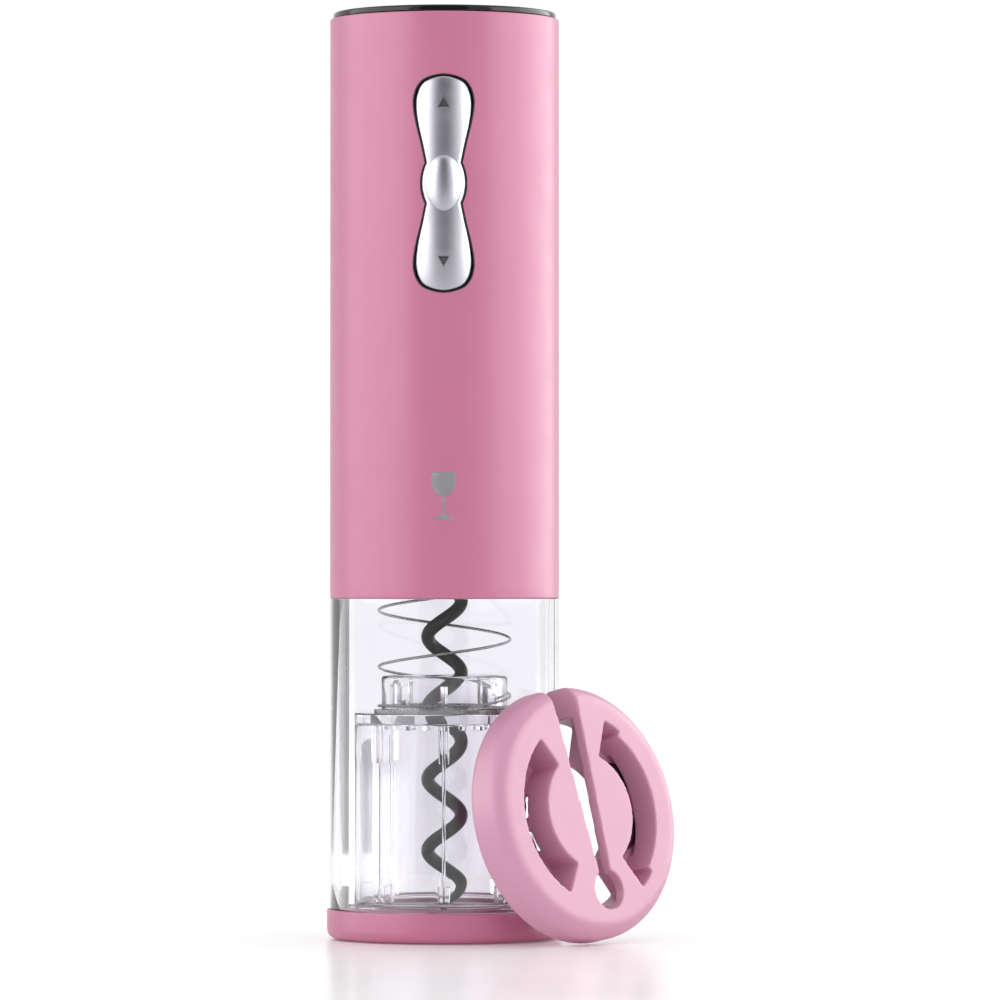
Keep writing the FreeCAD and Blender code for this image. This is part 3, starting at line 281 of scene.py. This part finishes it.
def brass():
    """Turned brass: rings of tool marks round the Z axis."""
    f = Finish("brass", (0.72, 0.47, 0.17), 0.25, 1.0)
    f.mottle(3 * MM, 0.08).worn((0.85, 0.62, 0.3)).gloss(0.18, 0.36, 0.4 * MM, (0.1, 0.1, 1))
    return f.relief(f.noise(0.07 * MM, 2.0, (0.05, 0.05, 1)), 0.004 * MM)


def copper():
    """Enamelled wire: close parallel turns with a varnish coat."""
    f = Finish("copper", (0.66, 0.24, 0.09), 0.24, 1.0)
    turns = f.waves(0.32 * MM, "DIAGONAL", 0.4)
    f.paint(f.blend(turns, (0.3, 0.08, 0.03), (0.74, 0.3, 0.12)))
    f.gloss(0.16, 0.32, 0.7 * MM).relief(turns, 0.08 * MM)
    return f.set(Coat_Weight=0.5, Coat_Roughness=0.1)


def magnet():
    """Sintered magnet: dark, coarse and slightly metallic."""
    f = Finish("magnet", (0.09, 0.09, 0.1), 0.55, 0.6)
    f.mottle(0.4 * MM, 0.4).worn((0.2, 0.2, 0.21)).gloss(0.42, 0.7, 0.3 * MM)
    return f.relief(f.noise(0.12 * MM, 4.0), 0.02 * MM)


def white_plastic():
    """Off-white engineering plastic that lets a little light in."""
    f = Finish("white_plastic", (0.76, 0.75, 0.72), 0.42)
    f.mottle(5 * MM, 0.03).worn((0.9, 0.9, 0.88)).gloss(0.34, 0.5, 0.9 * MM)
    f.relief(f.noise(0.18 * MM, 2.0), 0.008 * MM)
    return f.set(Subsurface_Weight=0.05, Subsurface_Scale=0.001)


def circuit_board():
    """Green solder mask over copper runs, with the weave just telling."""
    f = Finish("circuit_board", (0.02, 0.16, 0.06), 0.3)
    runs = f.span(f.waves(1.1 * MM, "Z", 6.0), 0, 1, 0.55, 0.6)
    f.paint(f.blend(runs, (0.012, 0.11, 0.04), (0.03, 0.22, 0.08)))
    f.gloss(0.2, 0.36, 1.0 * MM).relief(runs, 0.03 * MM)
    return f.relief(f.cells(0.3 * MM), 0.004 * MM)


def cell_wrap():
    """Plain printed film round a cell: a blue body with a lighter band and crease lines."""
    f = Finish("cell_wrap", (0.07, 0.13, 0.28), 0.28)
    height = f.add("ShaderNodeSeparateXYZ")
    f.feed(height, Vector=f.coords)
    band_start, band_full = 0.1786, 0.179
    band = f.span(height.outputs["Z"], 0, 1, band_start, band_full)
    f.paint(f.blend(band, (0.06, 0.12, 0.27), (0.62, 0.63, 0.64)))
    f.gloss(0.2, 0.36, 2 * MM).relief(f.noise(1.2 * MM, 3.0, (1, 1, 0.2)), 0.02 * MM)
    return f.set(Coat_Weight=0.3, Coat_Roughness=0.12)


def nickel():
    """Nickel plate, lightly smudged."""
    f = Finish("nickel", (0.66, 0.64, 0.6), 0.22, 1.0)
    f.mottle(2 * MM, 0.06).worn((0.8, 0.79, 0.76)).gloss(0.15, 0.34, 0.9 * MM)
    return f.relief(f.noise(0.15 * MM, 3.0), 0.004 * MM)


def sleeving(name, colour):
    """Soft insulation of a motor lead."""
    f = Finish(name, colour, 0.42)
    f.mottle(2 * MM, 0.12).gloss(0.34, 0.52, 0.8 * MM)
    return f.relief(f.noise(0.3 * MM, 3.0), 0.012 * MM)


FINISHES = {f.name: f.material for f in (
    pink_plastic(), pink_cutter_painted_light(), black_gloss(), black_plastic(), silver_plastic(), mark_silver(),
    clear_plastic(), steel(), spring_steel(), black_coated_steel(), brass(), copper(),
    magnet(), white_plastic(), circuit_board(), cell_wrap(), nickel(),
    sleeving("red_sleeving", (0.42, 0.02, 0.02)),
    sleeving("black_sleeving", (0.018, 0.017, 0.018)))}


# ---- mesh helpers --------------------------------------------------------------------------

def piece(name, vertices, faces, finish):
    """A new object from mesh code in millimetres."""
    mesh = bpy.data.meshes.new(name)
    mesh.from_pydata([tuple(c * MM for c in v) for v in vertices], [], faces)
    mesh.materials.append(FINISHES[finish])
    made = bpy.data.objects.new(name, mesh)
    SCENE.collection.objects.link(made)
    tidy(made)
    return made


def tidy(made):
    """Weld doubled vertices, point faces outwards, and shade smooth except at sharp edges."""
    grid = bmesh.new()
    grid.from_mesh(made.data)
    bmesh.ops.remove_doubles(grid, verts=grid.verts, dist=1e-6)
    bmesh.ops.dissolve_degenerate(grid, edges=grid.edges, dist=1e-7)
    bmesh.ops.recalc_face_normals(grid, faces=grid.faces)
    grid.to_mesh(made.data)
    grid.free()
    made.data.shade_smooth()
    made.data.set_sharp_from_angle(angle=math.radians(SMOOTH_BELOW))


def apply_modifiers(made):
    """Replace the mesh by what its modifiers make of it."""
    graph = bpy.context.evaluated_depsgraph_get()
    final = bpy.data.meshes.new_from_object(made.evaluated_get(graph))
    made.modifiers.clear()
    made.data = final


def carve(made, tool, operation="DIFFERENCE"):
    """Cut the tool's volume out of the piece, or join it on, and drop the tool."""
    cut = made.modifiers.new("cut", "BOOLEAN")
    cut.object = tool
    cut.operation = operation
    cut.solver = "EXACT"
    bpy.context.view_layer.update()
    apply_modifiers(made)
    bpy.data.objects.remove(tool)
    tidy(made)


def rounded(profile, steps):
    """A closed (r, z, round) outline with each corner turned into an arc of its own radius."""
    outline = []
    count = len(profile)
    for i, (r, z, radius) in enumerate(profile):
        here = Vector((r, z))
        back = Vector(profile[i - 1][:2]) - here
        ahead = Vector(profile[(i + 1) % count][:2]) - here
        if radius <= 0:
            outline.append(here)
            continue
        half = back.angle(ahead) / 2
        most = 0.48    # of a side, so that the arcs at its two ends stay apart
        reach = min(radius / math.tan(half), most * back.length, most * ahead.length)
        first, last = here + back.normalized() * reach, here + ahead.normalized() * reach
        for step in range(steps + 1):
            t = step / steps
            outline.append((1 - t) ** 2 * first + 2 * t * (1 - t) * here + t * t * last)
    return outline


def lathe(name, profile, finish, turns, longest, steps=6):
    """A ring spun from a closed (r, z, round) outline, its long walls divided into courses."""
    corners = rounded(profile, steps)
    outline = []
    for i, here in enumerate(corners):
        following = corners[(i + 1) % len(corners)]
        pieces = max(1, math.ceil((following - here).length / longest))
        outline += [here.lerp(following, k / pieces) for k in range(pieces)]
    vertices, faces = [], []
    for k in range(turns):
        angle = 2 * math.pi * k / turns
        c, s = math.cos(angle), math.sin(angle)
        vertices += [(p.x * c, p.x * s, p.y) for p in outline]
    size = len(outline)
    for k in range(turns):
        a, b = k * size, (k + 1) % turns * size
        for i in range(size):
            j = (i + 1) % size
            faces.append((a + i, b + i, b + j, a + j))
    return piece(name, vertices, faces, finish)


def bands(rings, size, closed=False):
    """Faces from each ring of points to the next, and if closed, from the last to the first."""
    faces = []
    for k in range(rings if closed else rings - 1):
        a, b = k * size, (k + 1) % rings * size
        for i in range(size):
            j = (i + 1) % size
            faces.append((a + i, a + j, b + j, b + i))
    return faces


def bar(name, first, last, finish):
    """A straight bar between two matching outlines."""
    count = len(first)
    faces = [tuple(range(count)), tuple(range(2 * count - 1, count - 1, -1))]
    faces += [(i, (i + 1) % count, count + (i + 1) % count, count + i) for i in range(count)]
    return piece(name, first + last, faces, finish)


def prism(name, outline, front, back, finish="black_plastic"):
    """A bar with an (x, z) outline, from y front to y back."""
    return bar(name, [(x, front, z) for x, z in outline], [(x, back, z) for x, z in outline],
               finish)


def upright(name, plan, bottom, top, finish):
    """A bar with an (x, y) plan, from z bottom to z top."""
    return bar(name, [(x, y, bottom) for x, y in plan], [(x, y, top) for x, y in plan], finish)


def arc_through(first, middle, last, steps):
    """Points on the circle through three points, without the last one."""
    (ax, ay), (bx, by), (cx, cy) = first, middle, last
    d = 2 * (ax * (by - cy) + bx * (cy - ay) + cx * (ay - by))
    ux = ((ax * ax + ay * ay) * (by - cy) + (bx * bx + by * by) * (cy - ay)
          + (cx * cx + cy * cy) * (ay - by)) / d
    uy = ((ax * ax + ay * ay) * (cx - bx) + (bx * bx + by * by) * (ax - cx)
          + (cx * cx + cy * cy) * (bx - ax)) / d
    radius = math.hypot(ax - ux, ay - uy)
    start, mid, stop = (math.atan2(y - uy, x - ux) for x, y in (first, middle, last))
    turn = (stop - start) % (2 * math.pi)
    if (mid - start) % (2 * math.pi) > turn:
        turn -= 2 * math.pi
    return [(ux + radius * math.cos(start + turn * k / steps),
             uy + radius * math.sin(start + turn * k / steps)) for k in range(steps)]


# ---- shared dimensions, in millimetres -----------------------------------------------------

BODY_RADIUS = 26.0
HOUSING_BOTTOM, HOUSING_TOP = 77.1, 208.6
CAP_TOP = 210.1
FOOT_RADIUS, NECK_RADIUS = 26.7, 16.0
GUIDE_TOP = 48.6


# ---- rocker outline ------------------------------------------------------------------------

ROCKER_CENTRE = 170.0
OPENING_MARGIN, BEZEL_MARGIN, GAP_MARGIN, FLANGE_MARGIN = 0.46, 0.42, 0.16, 2.4
BULGE_HALF, WAIST_HALF, WAIST_RISE = 4.85, 3.8, 4.5
LOBE = [(WAIST_HALF, WAIST_RISE), (4.75, 9.0), (5.75, 13.0), (6.4, 16.6), (6.42, 19.2),
        (5.6, 21.6), (3.9, 23.2), (0.0, 24.1)]


def smooth_run(points, steps):
    """Points on a smooth curve through the given ones, without the last."""
    run = []
    padded = [points[0]] + points + [(-points[-2][0], points[-2][1])]
    for k in range(1, len(padded) - 2):
        a, b, c, d = (Vector(padded[k + i]) for i in (-1, 0, 1, 2))
        for step in range(steps):
            s = step / steps
            run.append(0.5 * ((2 * b) + (c - a) * s + (2 * a - 5 * b + 4 * c - d) * s * s
                              + (3 * b - a - 3 * c + d) * s ** 3))
    return run


def bowtie(grow):
    """The rocker's two-lobed outline as (x, z) points, grown evenly by a margin."""
    lobe = smooth_run(LOBE, 6)
    bulge = [Vector(p) for p in arc_through((WAIST_HALF, -WAIST_RISE), (BULGE_HALF, 0),
                                            (WAIST_HALF, WAIST_RISE), 16)]
    quarter = lobe + [Vector(LOBE[-1])]
    upper = quarter + [Vector((-p.x, p.y)) for p in reversed(quarter[:-1])]
    loop = bulge + upper[:-1] + [-p for p in bulge] + [-p for p in upper[:-1]]
    grown = []
    for i, here in enumerate(loop):
        along = loop[(i + 1) % len(loop)] - loop[i - 1]
        outward = Vector((along.y, -along.x)).normalized()
        grown.append((here.x + grow * outward.x, ROCKER_CENTRE + here.y + grow * outward.y))
    return grown


# ---- housing, cap, base --------------------------------------------------------------------

def make_housing():
    """The tall pink tube, with softly broken edges, an inner ledge and the rocker's opening."""
    shell = lathe("housing_shell", [
        (24.2, HOUSING_BOTTOM, 0.15), (BODY_RADIUS, HOUSING_BOTTOM, 0.35),
        (BODY_RADIUS, HOUSING_TOP, 0.45), (24.2, HOUSING_TOP, 0.15),
        (24.2, 94.5, 0.0), (22.9, 94.5, 0.0), (22.9, 92.5, 0.0), (24.2, 92.5, 0.0)],
        "pink_plastic", turns=256, longest=2.5)
    carve(shell, prism("opening", bowtie(OPENING_MARGIN), -30.0, -15.0))
    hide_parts("main_housing")
    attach(shell, "opener")


def make_cap():
    """Glossy black cover: a flat disc with a rounded rim, over a skirt and a central drum."""
    cap = lathe("cap_shell", [
        (0.0, 200.0, 0.0), (17.0, 200.0, 0.3), (17.0, 205.5, 0.3), (21.0, 205.5, 0.3),
        (21.0, 200.0, 0.3), (23.95, 200.0, 0.4), (23.95, 208.7, 0.1), (25.3, 208.7, 0.25),
        (25.3, CAP_TOP, 0.95), (0.0, CAP_TOP, 0.0)], "black_gloss", turns=224, longest=3.0)
    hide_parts("top_cap")
    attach(cap, "cap")


def make_base():
    """Pink foot ring with a rounded lower edge, the neck bore and the spigot."""
    ring = lathe("base_shell", [
        (NECK_RADIUS, 0.0, 0.6), (FOOT_RADIUS, 0.0, 2.6), (FOOT_RADIUS, 6.7, 0.45),
        (23.85, 6.7, 0.0), (23.85, 7.5, 0.2), (21.9, 7.5, 0.2), (21.9, 6.7, 0.1),
        (NECK_RADIUS, 6.7, 0.35)],
        "pink_plastic", turns=224, longest=3.0, steps=10)
    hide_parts("base_ring")
    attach(ring, "opener")


def make_sleeve():
    """Clear outer sleeve with its collar, edges rounded as moulded."""
    sleeve = lathe("sleeve_shell", [
        (24.0, 6.72, 0.3), (BODY_RADIUS, 6.72, 0.35), (BODY_RADIUS, 77.08, 0.12),
        (24.1, 77.08, 0.0),
        (24.1, 86.0, 0.3), (22.0, 86.0, 0.3), (22.0, 77.3, 0.3), (24.0, 77.1, 0.1)],
        "clear_plastic", turns=256, longest=6.0)
    sleeve.visible_shadow = False
    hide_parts("clear_sleeve")
    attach(sleeve, "opener")


def make_guide():
    """Clear inner tube with eight round-nosed fins, a thicker head and a splayed foot on each."""
    guide = lathe("guide_shell", [
        (16.2, 6.75, 0.2), (21.75, 6.75, 0.2), (21.75, 8.4, 0.3), (20.4, 8.4, 0.5),
        (20.4, GUIDE_TOP, 0.25), (19.4, GUIDE_TOP, 0.25), (19.4, 8.4, 0.5), (16.2, 8.4, 0.2)],
        "clear_plastic", turns=192, longest=8.0)
    fins = []
    fin_count = 8
    root = 19.7
    for nose, half, bottom, top in ((16.2, 0.4, 8.2, 48.55), (16.35, 1.15, 40.0, 48.5),
                                    (16.3, 1.3, 8.1, 12.4)):
        tip = min(half, 0.55)    # radius of the nose's two corners
        corner = [(nose + tip - tip * math.cos(turn), (half - tip) + tip * math.sin(turn))
                  for turn in (math.pi / 2 * k / 6 for k in range(7))]
        plan = [(root, -half)] + [(x, -y) for x, y in reversed(corner)]
        plan += corner + [(root, half)]
        fins.append(upright("fin", plan, bottom, top, "clear_plastic"))
    for extra in fins[1:]:
        carve(fins[0], extra, "UNION")
    ring = bmesh.new()
    for k in range(fin_count):
        before = set(ring.verts)
        ring.from_mesh(fins[0].data)
        turn = Matrix.Rotation(2 * math.pi * k / fin_count, 3, "Z")
        bmesh.ops.rotate(ring, cent=(0, 0, 0), matrix=turn,
                         verts=[v for v in ring.verts if v not in before])
    ring.to_mesh(fins[0].data)
    ring.free()
    carve(guide, fins[0], "UNION")
    guide.visible_shadow = False
    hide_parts("bottle_guide")
    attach(guide, "opener")


def make_carrier():
    """Clear cup on its flange, with a soft rolled rim."""
    cup = lathe("carrier_shell", [
        (12.5, 48.7, 0.2), (20.4, 48.7, 0.3), (20.4, 51.2, 0.5), (14.3, 51.2, 0.4),
        (14.3, 59.6, 1.1), (12.5, 59.6, 0.6)], "clear_plastic", turns=192, longest=6.0)
    cup.visible_shadow = False
    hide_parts("cork_carrier")
    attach(cup, "carrier")


def make_spring():
    """The carrier's spring, a copy of its CAD node's mesh in spring steel."""
    mesh = frame["nodes"]["carrier_spring"].data.copy()
    mesh.materials.clear()
    mesh.materials.append(FINISHES["spring_steel"])
    spring = bpy.data.objects.new("spring_shell", mesh)
    SCENE.collection.objects.link(spring)
    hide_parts("carrier_spring")
    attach(spring, "opener")
    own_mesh(spring)


def make_bezel():
    """Thin black surround, a hair below the housing's face, on a flange behind the wall."""
    face_radius, flange_front, flange_back = 25.93, -21.2, -20.0

    def loop(margin, depth=None):
        """The outline at a depth, or else on the curved face."""
        return [(x, -math.sqrt(face_radius ** 2 - x * x) if depth is None else depth, z)
                for x, z in bowtie(margin)]

    loops = [loop(GAP_MARGIN, flange_back), loop(GAP_MARGIN), loop(0.29), loop(BEZEL_MARGIN),
             loop(BEZEL_MARGIN, flange_front), loop(FLANGE_MARGIN, flange_front),
             loop(FLANGE_MARGIN, flange_back)]
    vertices = [v for ring in loops for v in ring]
    faces = bands(len(loops), len(loops[0]), closed=True)
    bezel = piece("bezel_shell", vertices, faces, "black_plastic")
    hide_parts("switch_bezel")
    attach(bezel, "opener")


# ---- rocker --------------------------------------------------------------------------------

ROCKER_BACK = -20.9
CROWN_RADIUS, CROWN_CENTRE = 10.0, 17.2
ROLL_START, ROLL_RATE = 14.0, 0.011


def rocker_face(x, rise):
    """Depth of the crowned face, rolling off a little towards both ends."""
    crown = CROWN_CENTRE + math.sqrt(max(0.0, CROWN_RADIUS ** 2 - x * x))
    roll = max(0.0, abs(rise) - ROLL_START)
    return -(crown - ROLL_RATE * roll * roll)


def make_rocker():
    """Two-lobed button with a crowned face, a rounded edge and a triangle sunk in each lobe."""
    edge = 0.6
    insets = [0.0, 0.03, 0.08, 0.16, 0.27, 0.42, edge]
    rings = []
    for inset in insets:
        drop = edge - math.sqrt(max(0.0, edge ** 2 - (edge - inset) ** 2))
        rings.append([(x, rocker_face(x, z - ROCKER_CENTRE) + drop, z)
                      for x, z in bowtie(-inset)])
    inner_rings = 16
    for k in range(1, inner_rings):
        scale = 1 - k / inner_rings
        rings.append([(x * scale, rocker_face(x * scale, (z - ROCKER_CENTRE) * scale),
                       ROCKER_CENTRE + (z - ROCKER_CENTRE) * scale)
                      for x, z in bowtie(-edge)])
    back = [(x, ROCKER_BACK, z) for x, z in bowtie(0)]
    middle = [(x, (y + ROCKER_BACK) / 2, z) for x, y, z in rings[0]]
    rings = [back, middle] + rings
    size = len(back)
    vertices = [v for ring in rings for v in ring]
    faces = bands(len(rings), size)
    tip, heel = len(vertices), len(vertices) + 1
    vertices += [(0, rocker_face(0, 0), ROCKER_CENTRE), (0, ROCKER_BACK, ROCKER_CENTRE)]
    last = (len(rings) - 1) * size
    for i in range(size):
        j = (i + 1) % size
        faces += [(last + i, last + j, tip), (j, i, heel)]
    triangles = [(f[0], f[i], f[i + 1]) for f in faces for i in range(1, len(f) - 1)]
    rocker = piece("rocker_shell", vertices, triangles, "silver_plastic")
    half, foot, point = 1.35, 1.1, 1.4
    pocket, inlay_size, inlay_front, inlay_back = 0.42, 0.84, 0.14, 0.9
    for sign, rise in ((1, 18.0), (-1, -17.4)):
        mid = ROCKER_CENTRE + rise
        mark = [(-half, mid - sign * foot), (half, mid - sign * foot), (0, mid + sign * point)]
        face = rocker_face(0, rise)
        carve(rocker, prism("mark", mark, face - 1.0, face + pocket))
        inlay = [(inlay_size * x, mid + inlay_size * (z - mid)) for x, z in mark]
        arrow = prism("arrow_%d" % (rise > 0), inlay, face + inlay_front, face + inlay_back,
                      "steel")
        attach(arrow, "rocker")
    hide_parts("rocker_button")
    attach(rocker, "rocker")


def make_boss():
    """Oval dome at the rocker's waist."""
    half, rise, deep = 4.15, 6.35, 1.5
    root, foot = 2.2, 0.1    # how far its back and the start of its dome lie under the face
    around, up = 72, 20
    levels = [(1.0, root), (1.0, foot)]
    levels += [(math.cos(lift), foot - deep * math.sin(lift))
               for lift in (math.pi / 2 * k / up for k in range(1, up))]
    vertices = []
    for shrink, drop in levels:
        for i in range(around):
            turn = 2 * math.pi * i / around
            x = half * shrink * math.cos(turn)
            vertices.append((x, rocker_face(x, 0) + drop,
                             ROCKER_CENTRE + rise * shrink * math.sin(turn)))
    faces = bands(len(levels), around)
    vertices.append((0, rocker_face(0, 0) + foot - deep, ROCKER_CENTRE))
    last = (len(levels) - 1) * around
    faces += [(last + i, last + (i + 1) % around, len(vertices) - 1) for i in range(around)]
    faces.append(tuple(range(around - 1, -1, -1)))
    boss = piece("boss_shell", vertices, faces, "silver_plastic")
    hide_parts("rocker_boss")
    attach(boss, "rocker")


# ---- foil cutter ---------------------------------------------------------------------------

# where the cutter's own axes lie as it leans on the sleeve
CUTTER = (Matrix.Translation((32.95 * MM, -24.85 * MM, 29.75 * MM))
          @ Matrix.Rotation(math.radians(45.0), 4, "Z")
          @ Matrix.Rotation(math.radians(78.4), 4, "X")
          @ Matrix.Rotation(math.radians(7.0), 4, "Z"))


def make_cutter():
    """Both arms and their living hinge as one smooth moulding."""
    seam_half, weld, voxel = 0.06 * MM, 0.01 * MM, 0.32 * MM
    grid = bmesh.new()
    for node in ("cutter_right_arm", "cutter_left_arm"):
        grid.from_mesh(frame["nodes"][node].data)
    bmesh.ops.transform(grid, matrix=CUTTER.inverted(), verts=grid.verts)
    seam = [v for v in grid.verts if abs(v.co.x) < seam_half]
    for vertex in seam:
        vertex.co.x = 0.0
    joined = set(seam)
    inside = [f for f in grid.faces if all(v in joined for v in f.verts)]
    bmesh.ops.delete(grid, geom=inside, context="FACES")
    bmesh.ops.remove_doubles(grid, verts=grid.verts, dist=weld)
    mesh = bpy.data.meshes.new("cutter_shell")
    grid.to_mesh(mesh)
    grid.free()
    mesh.materials.clear()
    # the cutter's pink is lightened as painted light, for the sheen on its face and the fill light
    # in its grooves
    mesh.materials.append(FINISHES["pink_cutter_painted_light"])
    cutter = bpy.data.objects.new("cutter_shell", mesh)
    SCENE.collection.objects.link(cutter)
    remesh = cutter.modifiers.new("remesh", "REMESH")
    remesh.mode = "VOXEL"
    remesh.voxel_size = voxel
    smooth = cutter.modifiers.new("smooth", "SMOOTH")
    smooth.factor = 0.5
    smooth.iterations = 4
    bpy.context.view_layer.update()
    apply_modifiers(cutter)
    cutter.data.transform(CUTTER)
    cutter.data.shade_smooth()
    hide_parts("cutter_right_arm", "cutter_left_arm")
    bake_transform(cutter)


# ---- mark on the housing -------------------------------------------------------------------

def make_mark():
    """A small generic wine glass, sunk in the front of the housing and just proud of it."""
    centre, proud, sunk = 100.0, 0.05, -0.08
    top, height, levels, thinnest = 5.4, 10.6, 40, 0.24
    bowl = [(2.5, 5.4), (2.75, 3.8), (2.6, 2.2), (1.95, 0.9), (0.95, 0.2), (0.3, -0.1),
            (0.26, -3.6), (0.5, -4.3), (2.1, -4.8), (2.2, -5.2)]
    half = bowl + [(0.0, -5.2)]
    rows = []
    for k in range(levels + 1):
        z = top - height * k / levels
        wide = 0.0
        for (ax, az), (bx, bz) in zip(half, half[1:]):
            if min(az, bz) - 1e-9 <= z <= max(az, bz) + 1e-9 and abs(az - bz) > 1e-9:
                wide = max(wide, ax + (bx - ax) * (z - az) / (bz - az))
        rows.append((z, max(wide, thinnest)))
    vertices, faces = [], []
    across = 8
    for lift in (proud, sunk):
        for z, wide in rows:
            for i in range(across + 1):
                turn = wide * (2 * i / across - 1) / BODY_RADIUS
                reach = BODY_RADIUS + lift
                vertices.append((reach * math.sin(turn), -reach * math.cos(turn), centre + z))
    size = across + 1
    layer = size * len(rows)
    for k in range(len(rows) - 1):
        for i in range(across):
            a = k * size + i
            faces.append((a, a + size, a + size + 1, a + 1))
            faces.append((layer + a, layer + a + 1, layer + a + size + 1, layer + a + size))
        for i in (0, across):
            a = k * size + i
            faces.append((a, a + size, layer + a + size, layer + a))
    for row in (0, len(rows) - 1):
        for i in range(across):
            a = row * size + i
            faces.append((a, a + 1, layer + a + 1, layer + a))
    mark = piece("glass_mark", vertices, faces, "mark_silver")
    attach(mark, "opener")


# ---- CAD nodes -----------------------------------------------------------------------------

def dress_nodes():
    """Give every CAD node the finish of its record slot."""
    slots = {row["node"]: row["material_slot"] for row in frame["record"]["subparts"]}
    for name, node in frame["nodes"].items():
        finish = FINISHES[slots[name]]
        if not node.material_slots:
            node.data.materials.append(finish)
        for slot in node.material_slots:
            slot.material = finish


# ---- studio --------------------------------------------------------------------------------

def hide(thing, *rays):
    """Keep a set piece out of these kinds of ray."""
    for ray in rays:
        setattr(thing, "visible_" + ray, False)


def make_floor():
    """A wide sheet of pale satin paper, a little below the foot so that nothing touches."""
    reach, drop = 4000, -0.2
    floor = piece("floor", [(-reach, -reach, drop), (reach, -reach, drop), (reach, reach, drop),
                            (-reach, reach, drop)], [(0, 1, 2, 3)], "white_plastic")
    paper = Finish("floor_paper", (0.955, 0.95, 0.952), 0.5)
    paper.mottle(200 * MM, 0.004).gloss(0.2, 0.26, 60 * MM)
    paper.set(Specular_IOR_Level=0.25, Emission_Color=(1, 1, 1, 1), Emission_Strength=0.07)
    floor.data.materials[0] = paper.material


def softbox(name, azimuth, distance, width, height, radiance, lift):
    """A soft light aimed at the opener, its azimuth from the front and positive to the right."""
    light = bpy.data.lights.new(name, "AREA")
    light.shape = "RECTANGLE"
    light.size, light.size_y = width, height
    light.energy = radiance * math.pi * width * height
    box = bpy.data.objects.new(name, light)
    turn = math.radians(azimuth)
    spot = Vector((distance * math.sin(turn), -distance * math.cos(turn), lift))
    box.location = spot
    middle = Vector((0, 0, 0.11))
    aim = middle - spot
    box.rotation_euler = aim.to_track_quat("-Z", "Y").to_euler()
    hide(box, "camera")
    SCENE.collection.objects.link(box)
    return box


def make_studio():
    """White surroundings, soft lights, and the cards that shape what gloss and glass show."""
    world = bpy.data.worlds.new("studio")
    world.use_nodes = True
    background = world.node_tree.nodes["Background"]
    background.inputs["Color"].default_value = (1, 1, 1, 1)
    background.inputs["Strength"].default_value = 1.02
    SCENE.world = world
    boxes = []
    for name, azimuth, width, radiance in (
            ("left_box", -75, 1.9, 2.5), ("right_box", 95, 2.4, 3.0),
            ("right_core", 110, 1.1, 1.4)):
        boxes.append(softbox(name, azimuth, 1.2, width, 1.5, radiance, 0.3))
        hide(boxes[-1], "diffuse")
    hide(softbox("key_box", -32, 1.6, 0.8, 0.8, 0.3, 0.9), "glossy")
    card = piece("front_card", [(-900, -1900, -100), (900, -1900, -100), (900, -1900, 2400),
                                (-900, -1900, 2400)], [(0, 1, 2, 3)], "black_plastic")
    hide(card, "camera", "diffuse", "shadow", "transmission")
    for name, corners in (
            ("left_flag",
             [(-110, 460, -20), (-600, 300, 150), (-600, 300, 260), (-110, 460, 260)]),
            ("right_flag",
             [(215, 440, -40), (245, 430, -40), (245, 430, 220), (215, 440, 220)])):
        flag = piece(name, corners, [(0, 1, 2, 3)], "black_plastic")
        hide(flag, "camera", "diffuse", "glossy", "shadow")
    backing = piece("backing", [(-50, 200, 0), (50, 200, 0), (50, 200, 200),
                                (-50, 200, 200)], [(0, 1, 2, 3)], "white_plastic")
    paper = Finish("backing_paper", (0.0, 0.0, 0.0), 1.0)
    paper.mottle(300 * MM, 0.01)
    paper.set(Specular_IOR_Level=0.0, Emission_Color=(0.97, 0.96, 1.0, 1),
              Emission_Strength=1.0)
    backing.data.materials[0] = paper.material
    hide(backing, "camera", "diffuse", "glossy", "shadow")
    SCENE.view_settings.view_transform = "Standard"
    SCENE.cycles.max_bounces = 24
    SCENE.cycles.diffuse_bounces = 8
    SCENE.cycles.transmission_bounces = 24
    return boxes


def spare_clear_parts(boxes):
    """Keep the bright images of the side lights out of the clear walls."""
    spared = bpy.data.collections.new("spared")
    for thing in list(SCENE.objects):
        if thing.type == "MESH" and FINISHES["clear_plastic"] in list(thing.data.materials):
            spared.objects.link(thing)
    for member in spared.collection_objects:
        member.light_linking.link_state = "EXCLUDE"
    for box in boxes:
        box.light_linking.receiver_collection = spared


def make_camera():
    """A long lens, nearly level, in front of the opener and slightly to its right."""
    lens = bpy.data.cameras.new("camera")
    lens.lens, lens.sensor_width = 240.0, 36.0
    camera = bpy.data.objects.new("camera", lens)
    camera.location = (0.0126, -1.515, 0.082)
    camera.rotation_euler = (math.radians(90.66), 0.0, 0.0)
    SCENE.collection.objects.link(camera)
    SCENE.camera = camera


make_camera()
side_lights = make_studio()
make_floor()
dress_nodes()
make_housing()
make_cap()
make_base()
make_sleeve()
make_guide()
make_carrier()
make_spring()
make_bezel()
make_rocker()
make_boss()
make_cutter()
make_mark()
spare_clear_parts(side_lights)
